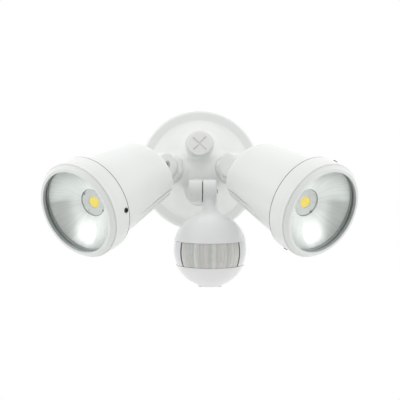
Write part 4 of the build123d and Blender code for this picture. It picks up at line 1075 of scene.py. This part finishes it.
BAND_OUT_R, BAND_IN_R = 34.4, 32.8
BAND_LOW, BAND_HIGH = -13.55, 9.05


def spherical(azimuth, height, radius):
    """Point in the ball's own frame at an azimuth in degrees and a height."""
    level = np.sqrt(radius ** 2 - height ** 2)
    turn = np.radians(azimuth)
    return np.stack([level * np.sin(turn), -level * np.cos(turn), height], axis=-1)


lens_tree, lens_inputs, given = new_growth(
    "fresnel_facets", {"Facets": 17, "Rows": 14, "Half angle": radians(LENS_HALF),
                       "Low edge": BAND_LOW * MM, "High edge": BAND_HIGH * MM,
                       "Outer radius": BAND_OUT_R * MM, "Facet depth": 0.35 * MM})
across_count = maths(lens_tree, "ADD", maths(lens_tree, "MULTIPLY", given["Facets"], 6), 1)
sheet_grid = add(lens_tree, "GeometryNodeMeshGrid", {"Size X": 1.0, "Size Y": 1.0},
                 {"Vertices X": across_count, "Vertices Y": given["Rows"]})
spot = add(lens_tree, "ShaderNodeSeparateXYZ", (),
           {"Vector": add(lens_tree, "GeometryNodeInputPosition").outputs[0]})
share = maths(lens_tree, "ADD", spot.outputs["X"], 0.5)
facet_place = maths(lens_tree, "MULTIPLY", share, given["Facets"])
facet_number = maths(lens_tree, "FLOOR", maths(lens_tree, "MINIMUM", facet_place,
                                               maths(lens_tree, "SUBTRACT", given["Facets"],
                                                     0.001)))
in_facet = maths(lens_tree, "SUBTRACT", maths(lens_tree, "MULTIPLY",
                                              maths(lens_tree, "SUBTRACT", facet_place,
                                                    facet_number), 2.0), 1.0)
crown = maths(lens_tree, "MULTIPLY", maths(lens_tree, "MULTIPLY", in_facet, in_facet),
              given["Facet depth"])
azimuth = maths(lens_tree, "MULTIPLY", maths(lens_tree, "MULTIPLY", spot.outputs["X"], 2.0),
                given["Half angle"])
rise = maths(lens_tree, "SUBTRACT", given["High edge"], given["Low edge"])
height = maths(lens_tree, "ADD", given["Low edge"],
               maths(lens_tree, "MULTIPLY", maths(lens_tree, "ADD", spot.outputs["Y"], 0.5),
                     rise))
skin_r = maths(lens_tree, "SUBTRACT", given["Outer radius"], crown)
level = maths(lens_tree, "SQRT", maths(lens_tree, "SUBTRACT",
                                       maths(lens_tree, "MULTIPLY", skin_r, skin_r),
                                       maths(lens_tree, "MULTIPLY", height, height)))
bent = add(lens_tree, "ShaderNodeCombineXYZ", (),
           {"X": maths(lens_tree, "MULTIPLY", level, maths(lens_tree, "SINE", azimuth)),
            "Y": maths(lens_tree, "MULTIPLY", maths(lens_tree, "MULTIPLY", level, -1.0),
                       maths(lens_tree, "COSINE", azimuth)),
            "Z": height})
# a random value for each facet, which the lens material turns into the facet's painted shade
chance = add(lens_tree, "FunctionNodeRandomValue", {"Seed": 7}, {"ID": facet_number},
             data_type="FLOAT")
tinted = add(lens_tree, "GeometryNodeStoreNamedAttribute", {"Name": "facet_shade"},
             {"Geometry": sheet_grid.outputs["Mesh"]}, data_type="FLOAT", domain="POINT")
lens_tree.links.new(chance.outputs[1], tinted.inputs["Value"])
curved = add(lens_tree, "GeometryNodeSetPosition", (),
             {"Geometry": tinted.outputs[0], "Position": bent.outputs[0]})
end_growth(lens_tree, given, curved.outputs[0])

lens_mesh = grown(lens_tree, {lens_inputs["Facets"]: 17, lens_inputs["Finish"]: lens_plastic},
                  ball)


def thickened(mesh, thickness):
    """The sheet with a closed wall of this thickness on its inner side."""
    shape = bmesh.new()
    shape.from_mesh(mesh)
    centre = Vector(ball[0] * MM)
    bmesh.ops.recalc_face_normals(shape, faces=shape.faces)
    shape.faces.ensure_lookup_table()
    first = shape.faces[0]
    if first.normal.dot(first.calc_center_median() - centre) < 0:
        bmesh.ops.reverse_faces(shape, faces=shape.faces)
    outer = shape.faces[:]
    inner = bmesh.ops.duplicate(shape, geom=outer)
    inner_faces = [f for f in inner["geom"] if isinstance(f, bmesh.types.BMFace)]
    inner_verts = [v for v in inner["geom"] if isinstance(v, bmesh.types.BMVert)]
    for vert in inner_verts:
        away = vert.co - centre
        vert.co = centre + away * (1 - thickness * MM / away.length)
    bmesh.ops.reverse_faces(shape, faces=inner_faces)
    edges = [e for e in shape.edges if e.is_boundary]
    bmesh.ops.bridge_loops(shape, edges=edges)
    bmesh.ops.recalc_face_normals(shape, faces=shape.faces)
    return closed(shape, mesh, 30)


finish_piece("fresnel_lens", thickened(lens_mesh, 1.1), "sensor_head", lens_plastic,
             ["sensor_lens"])

# ------------------------------------------------------------------ panes and bars
# Beyond the lens, two plain grey panes close the window round the sides, and dark bars hide
# the edges where the sheets meet.

# Smoked grey polycarbonate: glossy, darker where it turns away.
pane_plastic = plastic("pane_plastic", "#EAEAED", "#E2E2E6", 0.1, 0.18, 1.58)


def skin_sheet(start, end, outer, inner, columns, rows=10):
    """Closed sheet of the ball's skin between two azimuths and the band's edges."""
    shape = bmesh.new()
    walls = []
    for radius in (outer, inner):
        grid = [[shape.verts.new(placed(spherical(a, h, radius), ball))
                 for h in np.linspace(BAND_LOW, BAND_HIGH, rows + 1)]
                for a in np.linspace(start, end, columns + 1)]
        walls.append(grid)
    for grid in walls:
        for i in range(columns):
            for j in range(rows):
                shape.faces.new((grid[i][j], grid[i + 1][j], grid[i + 1][j + 1], grid[i][j + 1]))
    a, b = walls
    for i in range(columns):
        for j in (0, rows):
            shape.faces.new((a[i][j], a[i + 1][j], b[i + 1][j], b[i][j]))
    for j in range(rows):
        for i in (0, columns):
            shape.faces.new((a[i][j], a[i][j + 1], b[i][j + 1], b[i][j]))
    bmesh.ops.recalc_face_normals(shape, faces=shape.faces)
    return closed(shape, bpy.data.meshes.new("sheet"), 40)


pane_meshes = [skin_sheet(a, b, BAND_OUT_R, BAND_IN_R, 24)
               for a, b in ((LENS_HALF + BAR, CHEEK_END), (-CHEEK_END, -LENS_HALF - BAR))]
finish_piece("window_panes", merged(pane_meshes), "sensor_head", pane_plastic,
             ["sensor_side_panes"])
bar_meshes = [skin_sheet(a + 0.2, a + BAR - 0.2, BAND_OUT_R - 0.6, BAND_IN_R, 3)
              for a in (-CHEEK_END - BAR, -LENS_HALF - BAR, LENS_HALF, CHEEK_END)]
finish_piece("window_bars", merged(bar_meshes), "sensor_head", black_plastic,
             ["sensor_lens_bars"])

# ------------------------------------------------------------------ controls
# Two small slotted dials under the ball set how long the lamps stay on and how far the
# sensor reaches.

# Acetal: light grey, satin.
dial_plastic = plastic("dial_plastic", "#DADBDC", "#D0D1D3", 0.3, 0.4, 1.48)


def dial_skin(points):
    x, y, z = points[..., 0], points[..., 1], points[..., 2]
    radius = np.hypot(x, y)
    knurl = 0.06 * np.cos(18 * np.arctan2(y, x)) * (radius > 1.8)
    cap = trim(radius - DIAL_R + 0.06 + knurl, np.abs(z - 1.2) - 1.2, 0.2)
    shaft = np.maximum(radius - 1.3, np.abs(z - 6.0) - 6.0)
    slot = np.maximum(np.maximum(np.abs(y) - 0.4, np.abs(x) - DIAL_R + 0.6), z - DIAL_PROUD)
    return cut(np.minimum(cap, shaft), slot, 0.1)


for name, x in (("time_dial", -DIAL_X), ("range_dial", DIAL_X)):
    face_at = ball[0] + ball[1] @ np.array([x, 0, PAD_BOTTOM - DIAL_PROUD])
    dial_mesh = skin_of(dial_skin, (-DIAL_R, -DIAL_R, 0), (DIAL_R, DIAL_R, 12), 0.13,
                        stand(face_at, ball_up, (1, 0, 0)))
    finish_piece(f"{name}_cap", dial_mesh, name, dial_plastic, [name])
